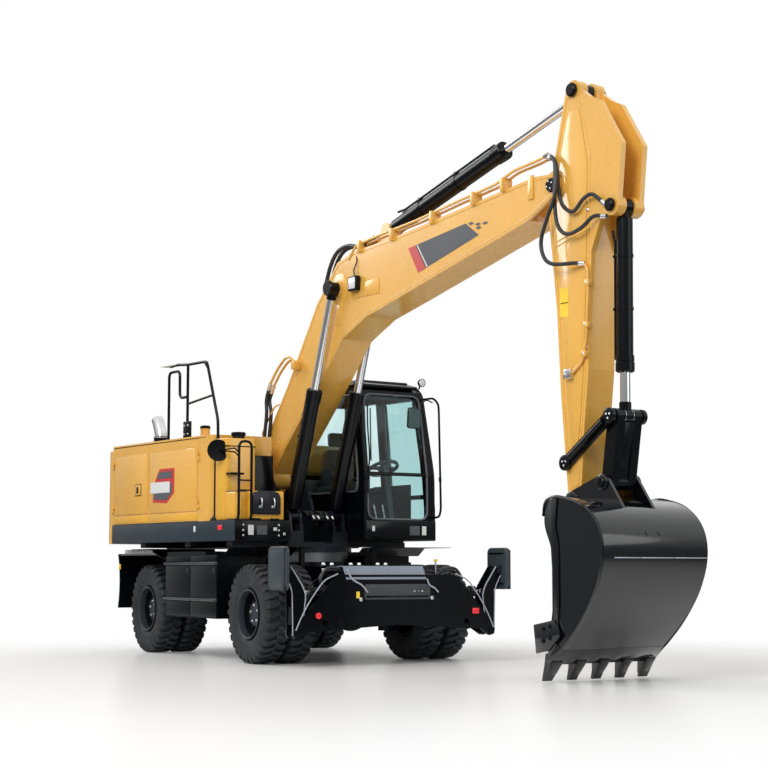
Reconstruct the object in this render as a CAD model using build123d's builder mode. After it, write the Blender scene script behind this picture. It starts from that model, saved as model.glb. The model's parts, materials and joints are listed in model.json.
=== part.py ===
from build123d import *
from math import atan2, cos, degrees, hypot, radians, sin
import os

os.makedirs("parts", exist_ok=True)

# Wheeled excavator, millimetres, +Z up, ground at z = 0.
# It is drawn about the slewing centre, with +X towards the end that has the stabiliser legs and +Y to
# the left. The upper structure is drawn straight ahead and is then turned about Z by SWING, as it
# stands. At the end everything is moved so that the origin is under the middle of the whole machine.
SWING = 5.3

# Running clearances
PIN_GAP = 0.08          # radial, pin in its bore
FACE_GAP = 6.0          # between the side faces of moving pieces
SEAT_GAP = 0.3          # between round faces of one body that sit in each other

# Wheels and axles
FRONT_AXLE_X = 1350.0
WHEELBASE = 2900.0
REAR_AXLE_X = FRONT_AXLE_X - WHEELBASE
TYRE_RADIUS = 530.0
TYRE_WIDTH = 280.0
TWIN_PITCH = 322.0
OUTER_TRACK = 1260.0    # half the width over the outer tyres
RIM_RADIUS = 262.0
RIM_WALL = 12.0
RIM_WIDTH = 246.0
RIM_FLANGE = 24.0
HUB_RADIUS = 165.0
HUB_END = 1165.0        # how far out the planetary hub cover stands
SPINDLE_RADIUS = 100.0
KINGPIN_Y = 540.0
KINGPIN_RADIUS = 35.0
AXLE_Z = TYRE_RADIUS
AXLE_TUBE_RADIUS = 105.0
DIFF_RADIUS = 205.0
OUTER_TYRE_Y = OUTER_TRACK - TYRE_WIDTH / 2
INNER_TYRE_Y = OUTER_TYRE_Y - TWIN_PITCH
TWIN_INNER_FACE = INNER_TYRE_Y - TYRE_WIDTH / 2

# Chassis
BEAM_HALF_WIDTH = 340.0
BEAM_BOTTOM = 780.0
BEAM_TOP = 1040.0
BEAM_REAR_X = REAR_AXLE_X - TYRE_RADIUS
BELLY_HALF_WIDTH = 640.0
BELLY_BOTTOM = 520.0
BELLY_FRONT_X = 500.0
BEARING_SEAT_TOP = 1090.0
BEARING_OUTER = 610.0
BEARING_INNER = 500.0
BEARING_TOP = 1205.0

# Boxes between the axles, mudguards
BOX_REAR_X = REAR_AXLE_X + TYRE_RADIUS + 30.0
BELLY_REAR_X = BOX_REAR_X + 50.0
BOX_FRONT_X = 510.0
BOX_OUTER_Y = 1240.0
BOX_BOTTOM = 455.0
BOX_TOP = 1165.0
BOX_STEP_TOP = 1208.0
GUARD_TOP = 1252.0
GUARD_PLATE = 6.0
GUARD_OUTER_Y = 1250.0

# Stabiliser cross frame and legs
CROSS_BACK_X = 2190.0
CROSS_DEPTH = 210.0
CROSS_PLATE = 20.0
CROSS_TOP = 950.0
CROSS_TOP_HALF = 700.0
LASHING_Y = 860.0
LASHING_Z = 455.0
LASHING_RADIUS = 30.0
LEG_PIN_Y = 1170.0
LEG_PIN_Z = 350.0
LEG_PIN_RADIUS = 30.0
LEG_PLATE = 26.0
PAD_PIN_Y = 1290.0
PAD_PIN_Z = 1000.0
PAD_OUTER_Y = 1375.0
STAB_CYL_BASE_Y = 330.0
STAB_CYL_BASE_Z = 820.0
STAB_CYL_EYE_Y = 1120.0
STAB_CYL_EYE_Z = 760.0
STAB_CYL_RADIUS = 48.0
STAB_ROD_RADIUS = 25.0

# Dozer blade at the other end, carried raised
BLADE_BOTTOM = 520.0
BLADE_TOP = 1190.0
BLADE_HALF_WIDTH = 1250.0
BLADE_ARM_Y = 290.0
BLADE_ARM_PIN_X = BEAM_REAR_X - 70.0

# Upper structure, in its own straight-ahead frame
DECK_BOTTOM = 1320.0
DECK_TOP = 1550.0
UPPER_HALF_WIDTH = 1280.0
DECK_FRONT_X = 780.0
BOOM_Y = -100.0         # centre plane of boom, arm and bucket
BOOM_HALF_WIDTH = 200.0
FOOT_X = -150.0
FOOT_Z = 2080.0
FOOT_PIN_RADIUS = 50.0
BRACKET_PLATE = 40.0
TAIL_RADIUS = 2790.0
UPPER_REAR_X = 500.0 - TAIL_RADIUS
HOOD_TOP = 2530.0

# Cab
CAB_FRONT_X = 1000.0
CAB_REAR_X = -620.0
CAB_RIGHT_Y = 300.0
CAB_LEFT_Y = 1300.0
CAB_BOTTOM = 1335.0
CAB_TOP = 3170.0
CAB_WALL = 55.0
GLASS = 6.0

# Pins of the working gear (x, z) in the upper structure's frame
BOOM_CYL_BASE = (530.0, 1600.0)
BOOM_CYL_EYE = (1380.0, 4130.0)
BOOM_TIP = (5060.0, 4640.0)
ARM_CYL_BASE = (2110.0, 4700.0)
ARM_CYL_EYE = (5330.0, 5510.0)
BUCKET_CYL_BASE = (5840.0, 4320.0)
LINK_PIN = (5810.0, 2390.0)
IDLER_PIN = (5200.0, 1990.0)
ARM_TIP = (5290.0, 1640.0)
BUCKET_LINK_PIN = (5710.0, 1790.0)
GEAR_PIN_RADIUS = 40.0
ARM_HALF_WIDTH = 160.0
BUCKET_HALF_WIDTH = 625.0
BOOM_CYL_Y = 290.0      # each boom cylinder's distance from the boom's centre plane


finished = {}


def keep(builder, name, turned=False):
    """Set one finished piece aside; pieces of the upper structure are turned by SWING first."""
    finished[name] = builder.part.rotate(Axis.Z, SWING) if turned else builder.part


def side_plane(y):
    """A plane that looks along Y: its sketch reads world X and Z."""
    return Plane.XZ.offset(-y)


def cross_plane(x):
    """A plane that looks along X: its sketch reads world Y and Z."""
    return Plane.YZ.offset(x)


def plate(outline, y, thickness):
    """A plate of an X, Z outline, centred on y."""
    with BuildSketch(side_plane(y)) as shape:
        Polygon(*outline, align=None)
    extrude(shape.sketch, amount=thickness / 2, both=True)


def boss(x, z, y, radius, width, mode=Mode.ADD):
    """A round boss, pin or bore across the machine."""
    with BuildSketch(side_plane(y)) as circle:
        with Locations((x, z)):
            Circle(radius)
    extrude(circle.sketch, amount=width / 2, both=True, mode=mode)


def pin_stubs(pin, y, radius, inner, outer):
    """The two ends of a pin that stop short of the eye between them."""
    for side in (1, -1):
        boss(*pin, y + side * (inner + outer) / 2, radius, outer - inner)


def link_plate(first, second, y, thickness, first_radius, second_radius):
    """A plate whose round ends stand about two pins."""
    with BuildSketch(side_plane(y)) as shape:
        with Locations(first):
            Circle(first_radius)
        with Locations(second):
            Circle(second_radius)
        make_hull()
    extrude(shape.sketch, amount=thickness / 2, both=True)


def between(x0, x1, y0, y1, z0, z1, mode=Mode.ADD):
    """A block given by its faces."""
    with Locations(((x0 + x1) / 2, (y0 + y1) / 2, (z0 + z1) / 2)):
        Box(abs(x1 - x0), abs(y1 - y0), abs(z1 - z0), mode=mode)


HINGE_PIN = 5.0
HINGE_KNUCKLE = 10.0
HINGE_LEAF = 38.0
HINGE_HEIGHT = 45.0
HINGE_STAND = 12.0       # from a door's face out to its hinge line


def hinge_half(point, axis, run, wall, fixed):
    """One half of a door hinge: the lug with its pin where fixed, otherwise the knuckle with its leaf.

    run is the side of the leaf along X, wall where the leaf ends inside the panel, beside the hinge line."""
    base = Plane(origin=point, x_dir=(1, 0, 0), z_dir=axis)
    outside = HINGE_KNUCKLE if wall < 0 else -HINGE_KNUCKLE
    clear = HINGE_KNUCKLE + 4
    with BuildSketch(base.offset(-HINGE_HEIGHT - FACE_GAP) if fixed else base) as leaf:
        Circle(HINGE_KNUCKLE)
        Polygon((0, outside), (run * HINGE_LEAF, outside), (run * HINGE_LEAF, wall), (run * clear, wall),
                (run * clear, 0), (0, 0), align=None)
    extrude(leaf.sketch, amount=HINGE_HEIGHT)
    with BuildSketch(base.offset(-HINGE_HEIGHT)) as pin:
        Circle(HINGE_PIN if fixed else HINGE_PIN + PIN_GAP)
    extrude(pin.sketch, amount=2.2 * HINGE_HEIGHT, mode=Mode.ADD if fixed else Mode.SUBTRACT)


def distance(first, second):
    return hypot(second[0] - first[0], second[1] - first[1])


# Wheels: a pair of tyres on one hub at each end of an axle
def tyre_pair(x, side):
    """Two tyres as rings about the axle, drawn outwards from the middle of the machine."""
    with BuildPart() as tyres:
        for middle in (OUTER_TYRE_Y, INNER_TYRE_Y):
            half = TYRE_WIDTH / 2
            with BuildSketch(Plane.XY) as section:
                with BuildLine():
                    Polyline(
                        (RIM_RADIUS + SEAT_GAP, middle - half * 0.80),
                        (RIM_RADIUS + RIM_FLANGE + 6, middle - half * 0.94),
                        (TYRE_RADIUS * 0.75, middle - half),
                        (TYRE_RADIUS * 0.90, middle - half * 0.97),
                        (TYRE_RADIUS * 0.985, middle - half * 0.84),
                        (TYRE_RADIUS, middle - half * 0.5),
                        (TYRE_RADIUS, middle + half * 0.5),
                        (TYRE_RADIUS * 0.985, middle + half * 0.84),
                        (TYRE_RADIUS * 0.90, middle + half * 0.97),
                        (TYRE_RADIUS * 0.75, middle + half),
                        (RIM_RADIUS + RIM_FLANGE + 6, middle + half * 0.94),
                        (RIM_RADIUS + SEAT_GAP, middle + half * 0.80),
                        close=True,
                    )
                make_face()
            revolve(axis=Axis.Y)
    return tyres.part.moved(Location((x, 0, AXLE_Z))) if side > 0 else \
        mirror(tyres.part, about=Plane.XZ).moved(Location((x, 0, AXLE_Z)))


def wheel_hub(x, side):
    """Both rims, the disc between them and the planetary hub with its cover."""
    inner = RIM_RADIUS - RIM_WALL
    disc_y = (OUTER_TYRE_Y + INNER_TYRE_Y) / 2
    hub_start = TWIN_INNER_FACE + 10
    with BuildPart() as hub:
        for middle in (OUTER_TYRE_Y, INNER_TYRE_Y):
            half = RIM_WIDTH / 2
            with BuildSketch(Plane.XY):
                Polygon(
                    (inner, middle - half), (RIM_RADIUS, middle - half),
                    (RIM_RADIUS, middle + half), (inner, middle + half), align=None)
            revolve(axis=Axis.Y)
        with BuildSketch(Plane.XY):
            Polygon(
                (HUB_RADIUS - 1, disc_y - 45), (inner + 1, disc_y - 45),
                (inner + 1, disc_y + 45), (HUB_RADIUS - 1, disc_y + 45), align=None)
        revolve(axis=Axis.Y)
        with BuildSketch(Plane.XY):
            Polygon(
                (SPINDLE_RADIUS + PIN_GAP, hub_start), (HUB_RADIUS, hub_start),
                (HUB_RADIUS, HUB_END - 40), (HUB_RADIUS - 30, HUB_END - 12),
                (60, HUB_END - 12), (55, HUB_END), (0, HUB_END),
                (0, HUB_END - 60), (SPINDLE_RADIUS + PIN_GAP, HUB_END - 60), align=None)
        revolve(axis=Axis.Y)
    return hub.part.moved(Location((x, 0, AXLE_Z))) if side > 0 else \
        mirror(hub.part, about=Plane.XZ).moved(Location((x, 0, AXLE_Z)))


for end_name, axle_x in (("front", FRONT_AXLE_X), ("rear", REAR_AXLE_X)):
    for side_name, side in (("left", 1), ("right", -1)):
        finished["tyres_" + end_name + "_" + side_name] = tyre_pair(axle_x, side)
        finished["hub_" + end_name + "_" + side_name] = wheel_hub(axle_x, side)


# Axles. The front one steers on kingpins and hangs from a saddle; the rear one is bolted to the beam.
def axle_core(x, tube_half):
    """Differential housing, tubes and the saddle under the beam."""
    boss(x, AXLE_Z, 0, AXLE_TUBE_RADIUS, 2 * tube_half)
    with Locations((x, 0, AXLE_Z)):
        Sphere(DIFF_RADIUS)
    between(x - 130, x + 130, -150, 150, AXLE_Z, BEAM_BOTTOM)
    with Locations(Location((x - 200, 0, AXLE_Z), (0, 90, 0))):
        Cylinder(70, 260)


def spindle(x, side, start):
    """The round end that a wheel hub turns on."""
    end = HUB_END - 70
    boss(x, AXLE_Z, side * (start + end) / 2, SPINDLE_RADIUS, end - start)


FORK_HALF = 55.0         # half the fork's width at the kingpin, along Y
FORK_TOP = 205.0         # how far the fork's ends stand above and below the axle
FORK_ARM = 50.0
KNUCKLE_REACH = FORK_TOP - FORK_ARM - FACE_GAP

with BuildPart() as front_axle:
    axle_core(FRONT_AXLE_X, KINGPIN_Y - 130)
    for side in (1, -1):
        inner_y = side * (KINGPIN_Y - 150)
        outer_y = side * (KINGPIN_Y + FORK_HALF)
        root_y = side * (KINGPIN_Y - 100)
        between(FRONT_AXLE_X - 70, FRONT_AXLE_X + 70, inner_y, root_y, AXLE_Z - FORK_TOP, AXLE_Z + FORK_TOP)
        for level in (AXLE_Z + FORK_TOP - FORK_ARM, AXLE_Z - FORK_TOP):
            between(FRONT_AXLE_X - 60, FRONT_AXLE_X + 60, root_y, outer_y, level, level + FORK_ARM)
        with Locations((FRONT_AXLE_X, side * KINGPIN_Y, AXLE_Z)):
            Cylinder(KINGPIN_RADIUS, 2 * FORK_TOP - 10)
keep(front_axle, "front_axle")

with BuildPart() as rear_axle:
    axle_core(REAR_AXLE_X, TWIN_INNER_FACE - 20)
    for side in (1, -1):
        spindle(REAR_AXLE_X, side, TWIN_INNER_FACE - 30)
    for side in (1, -1):
        between(REAR_AXLE_X - 90, REAR_AXLE_X + 90, side * 230, side * 330, AXLE_Z, BEAM_BOTTOM)
keep(rear_axle, "rear_axle")

# Steering knuckles: a block between the fork's ends, bored for the kingpin, and the wheel's spindle
for side_name, side in (("left", 1), ("right", -1)):
    with BuildPart() as knuckle:
        with Locations((FRONT_AXLE_X, side * KINGPIN_Y, AXLE_Z)):
            Cylinder(80, 2 * KNUCKLE_REACH)
        spindle(FRONT_AXLE_X, side, KINGPIN_Y + 40)
        with Locations((FRONT_AXLE_X, side * KINGPIN_Y, AXLE_Z)):
            Cylinder(KINGPIN_RADIUS + PIN_GAP, 3 * FORK_TOP, mode=Mode.SUBTRACT)
    keep(knuckle, "knuckle_" + side_name)

# Chassis: the beam, the belly between the axles, the bearing seat and the bracket for the blade
BRACKET_LUG = 30.0
BLADE_LOWER_PIN = (BLADE_ARM_PIN_X, 500.0)
BLADE_UPPER_PIN = (BLADE_ARM_PIN_X, 760.0)
BLADE_CYL_BASE = (BLADE_ARM_PIN_X + 35.0, 1120.0)
BLADE_CYL_Y = 140.0
BLADE_PIN_RADIUS = 25.0
LINK_WIDTH = 60.0
TOWING_Z = 480.0
TOWING_RADIUS = 25.0


def across(y, z, x, radius, length, mode=Mode.ADD):
    """A round boss, pin or bore along X."""
    with BuildSketch(cross_plane(x)) as circle:
        with Locations((y, z)):
            Circle(radius)
    extrude(circle.sketch, amount=length / 2, both=True, mode=mode)


with BuildPart() as chassis_frame:
    between(BEAM_REAR_X, CROSS_BACK_X, -BEAM_HALF_WIDTH, BEAM_HALF_WIDTH, BEAM_BOTTOM, BEAM_TOP)
    between(BELLY_REAR_X, BELLY_FRONT_X, -BELLY_HALF_WIDTH, BELLY_HALF_WIDTH, BELLY_BOTTOM, BEAM_TOP)
    between(BEAM_REAR_X, BEAM_REAR_X + 90, -BEAM_HALF_WIDTH, BEAM_HALF_WIDTH, 430, BEAM_TOP)
    across(0, TOWING_Z, BEAM_REAR_X, TOWING_RADIUS, 300, Mode.SUBTRACT)
    with Locations((0, 0, BEAM_TOP)):
        Cylinder(BEARING_OUTER + 30, BEARING_SEAT_TOP - BEAM_TOP, align=(Align.CENTER, Align.CENTER, Align.MIN))
    for side in (1, -1):
        for offset in (-1, 1):
            y = side * BLADE_ARM_Y + offset * (LINK_WIDTH / 2 + FACE_GAP + BRACKET_LUG / 2)
            for pin in (BLADE_LOWER_PIN, BLADE_UPPER_PIN):
                link_plate(pin, (BEAM_REAR_X + 20, pin[1]), y, BRACKET_LUG, 55, 70)
        for pin in (BLADE_LOWER_PIN, BLADE_UPPER_PIN):
            boss(pin[0], pin[1], side * BLADE_ARM_Y, BLADE_PIN_RADIUS, LINK_WIDTH + 2 * BRACKET_LUG)
        for offset in (-1, 1):
            y = side * BLADE_CYL_Y + offset * (46 + FACE_GAP + 10)
            plate([(BEAM_REAR_X + 10, 950), (BEAM_REAR_X + 10, BEAM_TOP), (BLADE_CYL_BASE[0] + 40, 1165),
                   (BLADE_CYL_BASE[0] - 30, 1165), (BLADE_CYL_BASE[0] - 40, 1080), (BEAM_REAR_X - 20, 950)], y, 20)
        boss(BLADE_CYL_BASE[0], BLADE_CYL_BASE[1], side * BLADE_CYL_Y, 20, 92 + 2 * FACE_GAP + 30)
keep(chassis_frame, "chassis_frame")

with BuildPart() as swing_bearing:
    with BuildSketch(Plane.XY.offset(BEARING_SEAT_TOP)):
        Circle(BEARING_OUTER)
        Circle(BEARING_INNER, mode=Mode.SUBTRACT)
    extrude(amount=BEARING_TOP - BEARING_SEAT_TOP)
keep(swing_bearing, "swing_bearing")

with BuildPart() as toolboxes:
    for side in (1, -1):
        between(BOX_REAR_X, BOX_FRONT_X, side * BELLY_HALF_WIDTH, side * BOX_OUTER_Y, BOX_BOTTOM, BOX_TOP)
        between(BOX_REAR_X + 20, BOX_FRONT_X - 350, side * 800, side * (BOX_OUTER_Y - 10), BOX_TOP, BOX_STEP_TOP)
        for level in (1072, 662):
            between(BOX_REAR_X + 100, BOX_FRONT_X, side * BOX_OUTER_Y, side * (BOX_OUTER_Y + 20), level - 14, level + 14)
keep(toolboxes, "toolboxes")

# Mudguards: flat plates over the wheels with a sloping end, on arms from the beam
with BuildPart() as mudguards:
    for side in (1, -1):
        middle_y = side * (420 + GUARD_OUTER_Y) / 2
        width = GUARD_OUTER_Y - 420
        low = GUARD_TOP - GUARD_PLATE
        front_x = FRONT_AXLE_X + 100
        rear_x = REAR_AXLE_X - 550
        slope_x = REAR_AXLE_X + 150
        nose_x = REAR_AXLE_X + 550
        plate([(front_x - 735, 1158), (front_x - 590, low), (front_x, low), (front_x, GUARD_TOP),
               (front_x - 593, GUARD_TOP), (front_x - 739, 1163)], middle_y, width)
        plate([(nose_x, 1118), (slope_x, 1208), (slope_x - 20, low), (rear_x, low), (rear_x, GUARD_TOP),
               (slope_x - 14, GUARD_TOP), (slope_x + 5, 1215), (nose_x + 2, 1125)], middle_y, width)
        for x in (FRONT_AXLE_X - 300, REAR_AXLE_X - 250):
            between(x - 25, x + 25, side * BEAM_HALF_WIDTH, side * 480, 950, 1000)
            between(x - 25, x + 25, side * 430, side * 480, 1000, low)
keep(mudguards, "mudguards")

# Stabilisers: a cross frame of two plates with the legs between them
CROSS_FRONT_X = CROSS_BACK_X + CROSS_DEPTH
CROSS_MIDDLE_X = (CROSS_BACK_X + CROSS_FRONT_X) / 2
LEG_HALF_DEPTH = CROSS_DEPTH / 2 - CROSS_PLATE - FACE_GAP
LEG_PLATE_X = LEG_HALF_DEPTH - LEG_PLATE / 2


def cross_plate(outline, x, thickness):
    """A plate of a Y, Z outline, centred on x."""
    with BuildSketch(cross_plane(x)) as shape:
        Polygon(*outline, align=None)
    extrude(shape.sketch, amount=thickness / 2, both=True)


def arch_outline():
    """Half of the cross frame's plate, from the middle out to the lug of one leg."""
    return [(0, 425), (LEG_PIN_Y - 130, 365), (LEG_PIN_Y - 20, LEG_PIN_Z - 55), (LEG_PIN_Y + 40, LEG_PIN_Z - 40),
            (LEG_PIN_Y + 52, LEG_PIN_Z + 20), (LEG_PIN_Y - 60, 520), (LEG_PIN_Y - 215, 700),
            (CROSS_TOP_HALF + 110, 860), (CROSS_TOP_HALF, CROSS_TOP), (0, CROSS_TOP)]


with BuildPart() as stabiliser_frame:
    for side in (1, -1):
        half = [(side * y, z) for y, z in arch_outline()]
        for x in (CROSS_BACK_X + CROSS_PLATE / 2, CROSS_FRONT_X - CROSS_PLATE / 2):
            cross_plate(half, x, CROSS_PLATE)
        across(side * LEG_PIN_Y, LEG_PIN_Z, CROSS_MIDDLE_X, LEG_PIN_RADIUS, CROSS_DEPTH + 20)
        across(side * STAB_CYL_BASE_Y, STAB_CYL_BASE_Z, CROSS_MIDDLE_X, 22, CROSS_DEPTH - 10)
        across(side * LASHING_Y, LASHING_Z, CROSS_FRONT_X, LASHING_RADIUS, 2 * CROSS_PLATE + 10, Mode.SUBTRACT)
    between(CROSS_BACK_X + 5, CROSS_FRONT_X - 5, -CROSS_TOP_HALF, CROSS_TOP_HALF, CROSS_TOP - 25, CROSS_TOP)
    between(CROSS_BACK_X + 5, CROSS_FRONT_X - 5, -60, 60, 430, CROSS_TOP)
keep(stabiliser_frame, "stabiliser_frame")

PAD_PIN_RADIUS = 22.0
PAD_THICKNESS = 25.0
PAD_HALF_X = 190.0
STAB_EYE_HALF = 30.0
STAB_BARREL = 690.0


def ram_line(base, eye):
    """Unit vector from a ram's base pin to its eye."""
    length = distance(base, eye)
    return ((eye[0] - base[0]) / length, (eye[1] - base[1]) / length)


def ram_barrel_body(origin, along, across_axis, outer, bore, length, bottom, eye_radius, eye_width, pin_radius):
    """A ram's barrel: base eye, tube open at the gland, and the gland's collar."""
    base = Plane(origin=origin, x_dir=across_axis, z_dir=along)
    with BuildSketch(base) as tube:
        Circle(outer)
    extrude(tube.sketch, amount=length)
    with BuildSketch(base.offset(length - 70)) as collar:
        Circle(outer + 10)
    extrude(collar.sketch, amount=70)
    with BuildSketch(base.offset(bottom)) as hollow:
        Circle(bore)
    extrude(hollow.sketch, amount=length, mode=Mode.SUBTRACT)
    eye_plane = Plane(origin=origin, x_dir=along, z_dir=across_axis)
    with BuildSketch(eye_plane) as eye:
        Circle(eye_radius)
    extrude(eye.sketch, amount=eye_width / 2, both=True)
    for sign in (1, -1):
        with BuildSketch(eye_plane.offset(sign * eye_width / 2)) as side_cut:
            Rectangle(2.9 * eye_radius, 4 * outer)
        extrude(side_cut.sketch, amount=sign * outer, mode=Mode.SUBTRACT)
    with BuildSketch(eye_plane) as pin_hole:
        Circle(pin_radius + PIN_GAP)
    extrude(pin_hole.sketch, amount=2 * outer + eye_width, both=True, mode=Mode.SUBTRACT)


def ram_rod_body(eye, along, across_axis, radius, start, eye_radius, eye_width):
    """A ram's rod, from its inner end, start behind its eye, to the eye, between the ends of its pin."""
    rod_plane = Plane(origin=eye, x_dir=across_axis, z_dir=along)
    with BuildSketch(rod_plane.offset(-start)) as rod:
        Circle(radius)
    extrude(rod.sketch, amount=start)
    eye_plane = Plane(origin=eye, x_dir=along, z_dir=across_axis)
    with BuildSketch(eye_plane) as eye_ring:
        Circle(eye_radius)
    extrude(eye_ring.sketch, amount=eye_width / 2, both=True)


for side_name, side in (("left", 1), ("right", -1)):
    leg_pin = (side * LEG_PIN_Y, LEG_PIN_Z)
    pad_pin = (side * PAD_PIN_Y, PAD_PIN_Z)
    knee = (side * STAB_CYL_EYE_Y, STAB_CYL_EYE_Z)
    with BuildPart() as leg:
        outline = [(side * (LEG_PIN_Y - 50), LEG_PIN_Z - 30), (side * (LEG_PIN_Y + 50), LEG_PIN_Z - 30),
                   (side * (LEG_PIN_Y + 62), 800), (side * (PAD_PIN_Y + 30), PAD_PIN_Z - 30),
                   (side * (PAD_PIN_Y + 30), PAD_PIN_Z + 30), (side * (PAD_PIN_Y - 40), PAD_PIN_Z + 40),
                   (side * (LEG_PIN_Y - 60), 830), (side * (LEG_PIN_Y - 95), 740)]
        for offset in (-LEG_PLATE_X, LEG_PLATE_X):
            cross_plate(outline, CROSS_MIDDLE_X + offset, LEG_PLATE)
            across(*leg_pin, CROSS_MIDDLE_X + offset, LEG_PIN_RADIUS + 25, LEG_PLATE)
        between(CROSS_MIDDLE_X - LEG_PLATE_X, CROSS_MIDDLE_X + LEG_PLATE_X,
                side * (LEG_PIN_Y + 26), side * (LEG_PIN_Y + 46), 440, 620)
        across(*leg_pin, CROSS_MIDDLE_X, LEG_PIN_RADIUS + PIN_GAP, 2 * CROSS_DEPTH, Mode.SUBTRACT)
        across(*pad_pin, CROSS_MIDDLE_X, PAD_PIN_RADIUS + PIN_GAP, 2 * CROSS_DEPTH, Mode.SUBTRACT)
        for offset in (-1, 1):
            across(*knee, CROSS_MIDDLE_X + offset * (STAB_EYE_HALF + FACE_GAP + LEG_HALF_DEPTH - 2) / 2, 20,
                   LEG_HALF_DEPTH - 2 - STAB_EYE_HALF - FACE_GAP)
    keep(leg, "stabiliser_leg_" + side_name)

    with BuildPart() as pad:
        face = side * PAD_OUTER_Y
        back = side * (PAD_OUTER_Y - PAD_THICKNESS)
        between(CROSS_MIDDLE_X - PAD_HALF_X, CROSS_MIDDLE_X + PAD_HALF_X, face, back, 790, 1215)
        for x in (-LEG_HALF_DEPTH - FACE_GAP - 10, LEG_HALF_DEPTH + FACE_GAP + 10):
            cross_plate([(back, PAD_PIN_Z - 70), (back, PAD_PIN_Z + 70), (side * (PAD_PIN_Y - 30), PAD_PIN_Z + 30),
                         (side * (PAD_PIN_Y - 30), PAD_PIN_Z - 30)], CROSS_MIDDLE_X + x, 20)
        across(*pad_pin, CROSS_MIDDLE_X, PAD_PIN_RADIUS, 2 * (LEG_HALF_DEPTH + FACE_GAP + 22))
    keep(pad, "stabiliser_pad_" + side_name)

    base = (side * STAB_CYL_BASE_Y, STAB_CYL_BASE_Z)
    line = ram_line(base, knee)
    along = (0, line[0], line[1])
    with BuildPart() as barrel:
        ram_barrel_body((CROSS_MIDDLE_X, *base), along, (1, 0, 0), STAB_CYL_RADIUS, STAB_ROD_RADIUS + PIN_GAP,
                        STAB_BARREL, 60, 45, 60, 22)
    keep(barrel, "stabiliser_barrel_" + side_name)
    with BuildPart() as rod:
        ram_rod_body((CROSS_MIDDLE_X, *knee), along, (1, 0, 0), STAB_ROD_RADIUS,
                     distance(base, knee) - 80, 40, 2 * STAB_EYE_HALF)
    keep(rod, "stabiliser_rod_" + side_name)

# Dozer blade on two pairs of parallel links, with two rams to the lower pair
LINK_RISE = 50.0          # degrees the links stand up while the blade is carried
LINK_LENGTH = 420.0
RAM_LEVER = 260.0         # from the lower pin to the rams' eyes, along the lower links
BLADE_EYE_HALF = 25.0
LINK_DIRECTION = (-cos(radians(LINK_RISE)), sin(radians(LINK_RISE)))


def up_the_link(pin, length):
    return (pin[0] + LINK_DIRECTION[0] * length, pin[1] + LINK_DIRECTION[1] * length)


BLADE_LOWER_EYE = up_the_link(BLADE_LOWER_PIN, LINK_LENGTH)
BLADE_UPPER_EYE = up_the_link(BLADE_UPPER_PIN, LINK_LENGTH)
BLADE_CYL_EYE = up_the_link(BLADE_LOWER_PIN, RAM_LEVER)

with BuildPart() as blade_arms:
    for side in (1, -1):
        link_plate(BLADE_LOWER_PIN, BLADE_LOWER_EYE, side * BLADE_ARM_Y, LINK_WIDTH, 48, 44)
    pin_stubs(BLADE_CYL_EYE, 0, 20, BLADE_CYL_Y + BLADE_EYE_HALF + FACE_GAP, BLADE_ARM_Y)
    for side in (1, -1):
        for pin in (BLADE_LOWER_PIN, BLADE_LOWER_EYE):
            boss(*pin, side * BLADE_ARM_Y, BLADE_PIN_RADIUS + PIN_GAP, 2 * LINK_WIDTH, Mode.SUBTRACT)
keep(blade_arms, "blade_arms")

with BuildPart() as blade_links:
    for side in (1, -1):
        link_plate(BLADE_UPPER_PIN, BLADE_UPPER_EYE, side * BLADE_ARM_Y, LINK_WIDTH, 44, 44)
        for pin in (BLADE_UPPER_PIN, BLADE_UPPER_EYE):
            boss(*pin, side * BLADE_ARM_Y, BLADE_PIN_RADIUS + PIN_GAP, 2 * LINK_WIDTH, Mode.SUBTRACT)
keep(blade_links, "blade_links")

BLADE_BACK_X = BLADE_LOWER_EYE[0] - 70
with BuildPart() as blade:
    middle = (BLADE_BOTTOM + BLADE_TOP) / 2
    with BuildSketch(side_plane(0)) as section:
        with BuildLine():
            outer = ThreePointArc((BLADE_BACK_X - 60, BLADE_BOTTOM), (BLADE_BACK_X - 12, middle),
                                  (BLADE_BACK_X - 75, BLADE_TOP))
            Line(outer @ 1, (BLADE_BACK_X - 40, BLADE_TOP + 8))
            inner = ThreePointArc((BLADE_BACK_X - 40, BLADE_TOP + 8), (BLADE_BACK_X + 10, middle),
                                  (BLADE_BACK_X - 36, BLADE_BOTTOM))
            Line(inner @ 1, outer @ 0)
        make_face()
    extrude(amount=BLADE_HALF_WIDTH, both=True)
    for side in (1, -1):
        for offset in (-1, 1):
            y = side * BLADE_ARM_Y + offset * (LINK_WIDTH / 2 + FACE_GAP + BRACKET_LUG / 2)
            for eye in (BLADE_LOWER_EYE, BLADE_UPPER_EYE):
                link_plate(eye, (BLADE_BACK_X - 2, eye[1]), y, BRACKET_LUG, 42, 60)
        for eye in (BLADE_LOWER_EYE, BLADE_UPPER_EYE):
            boss(*eye, side * BLADE_ARM_Y, BLADE_PIN_RADIUS, LINK_WIDTH + 2 * BRACKET_LUG)
keep(blade, "blade")

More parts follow.
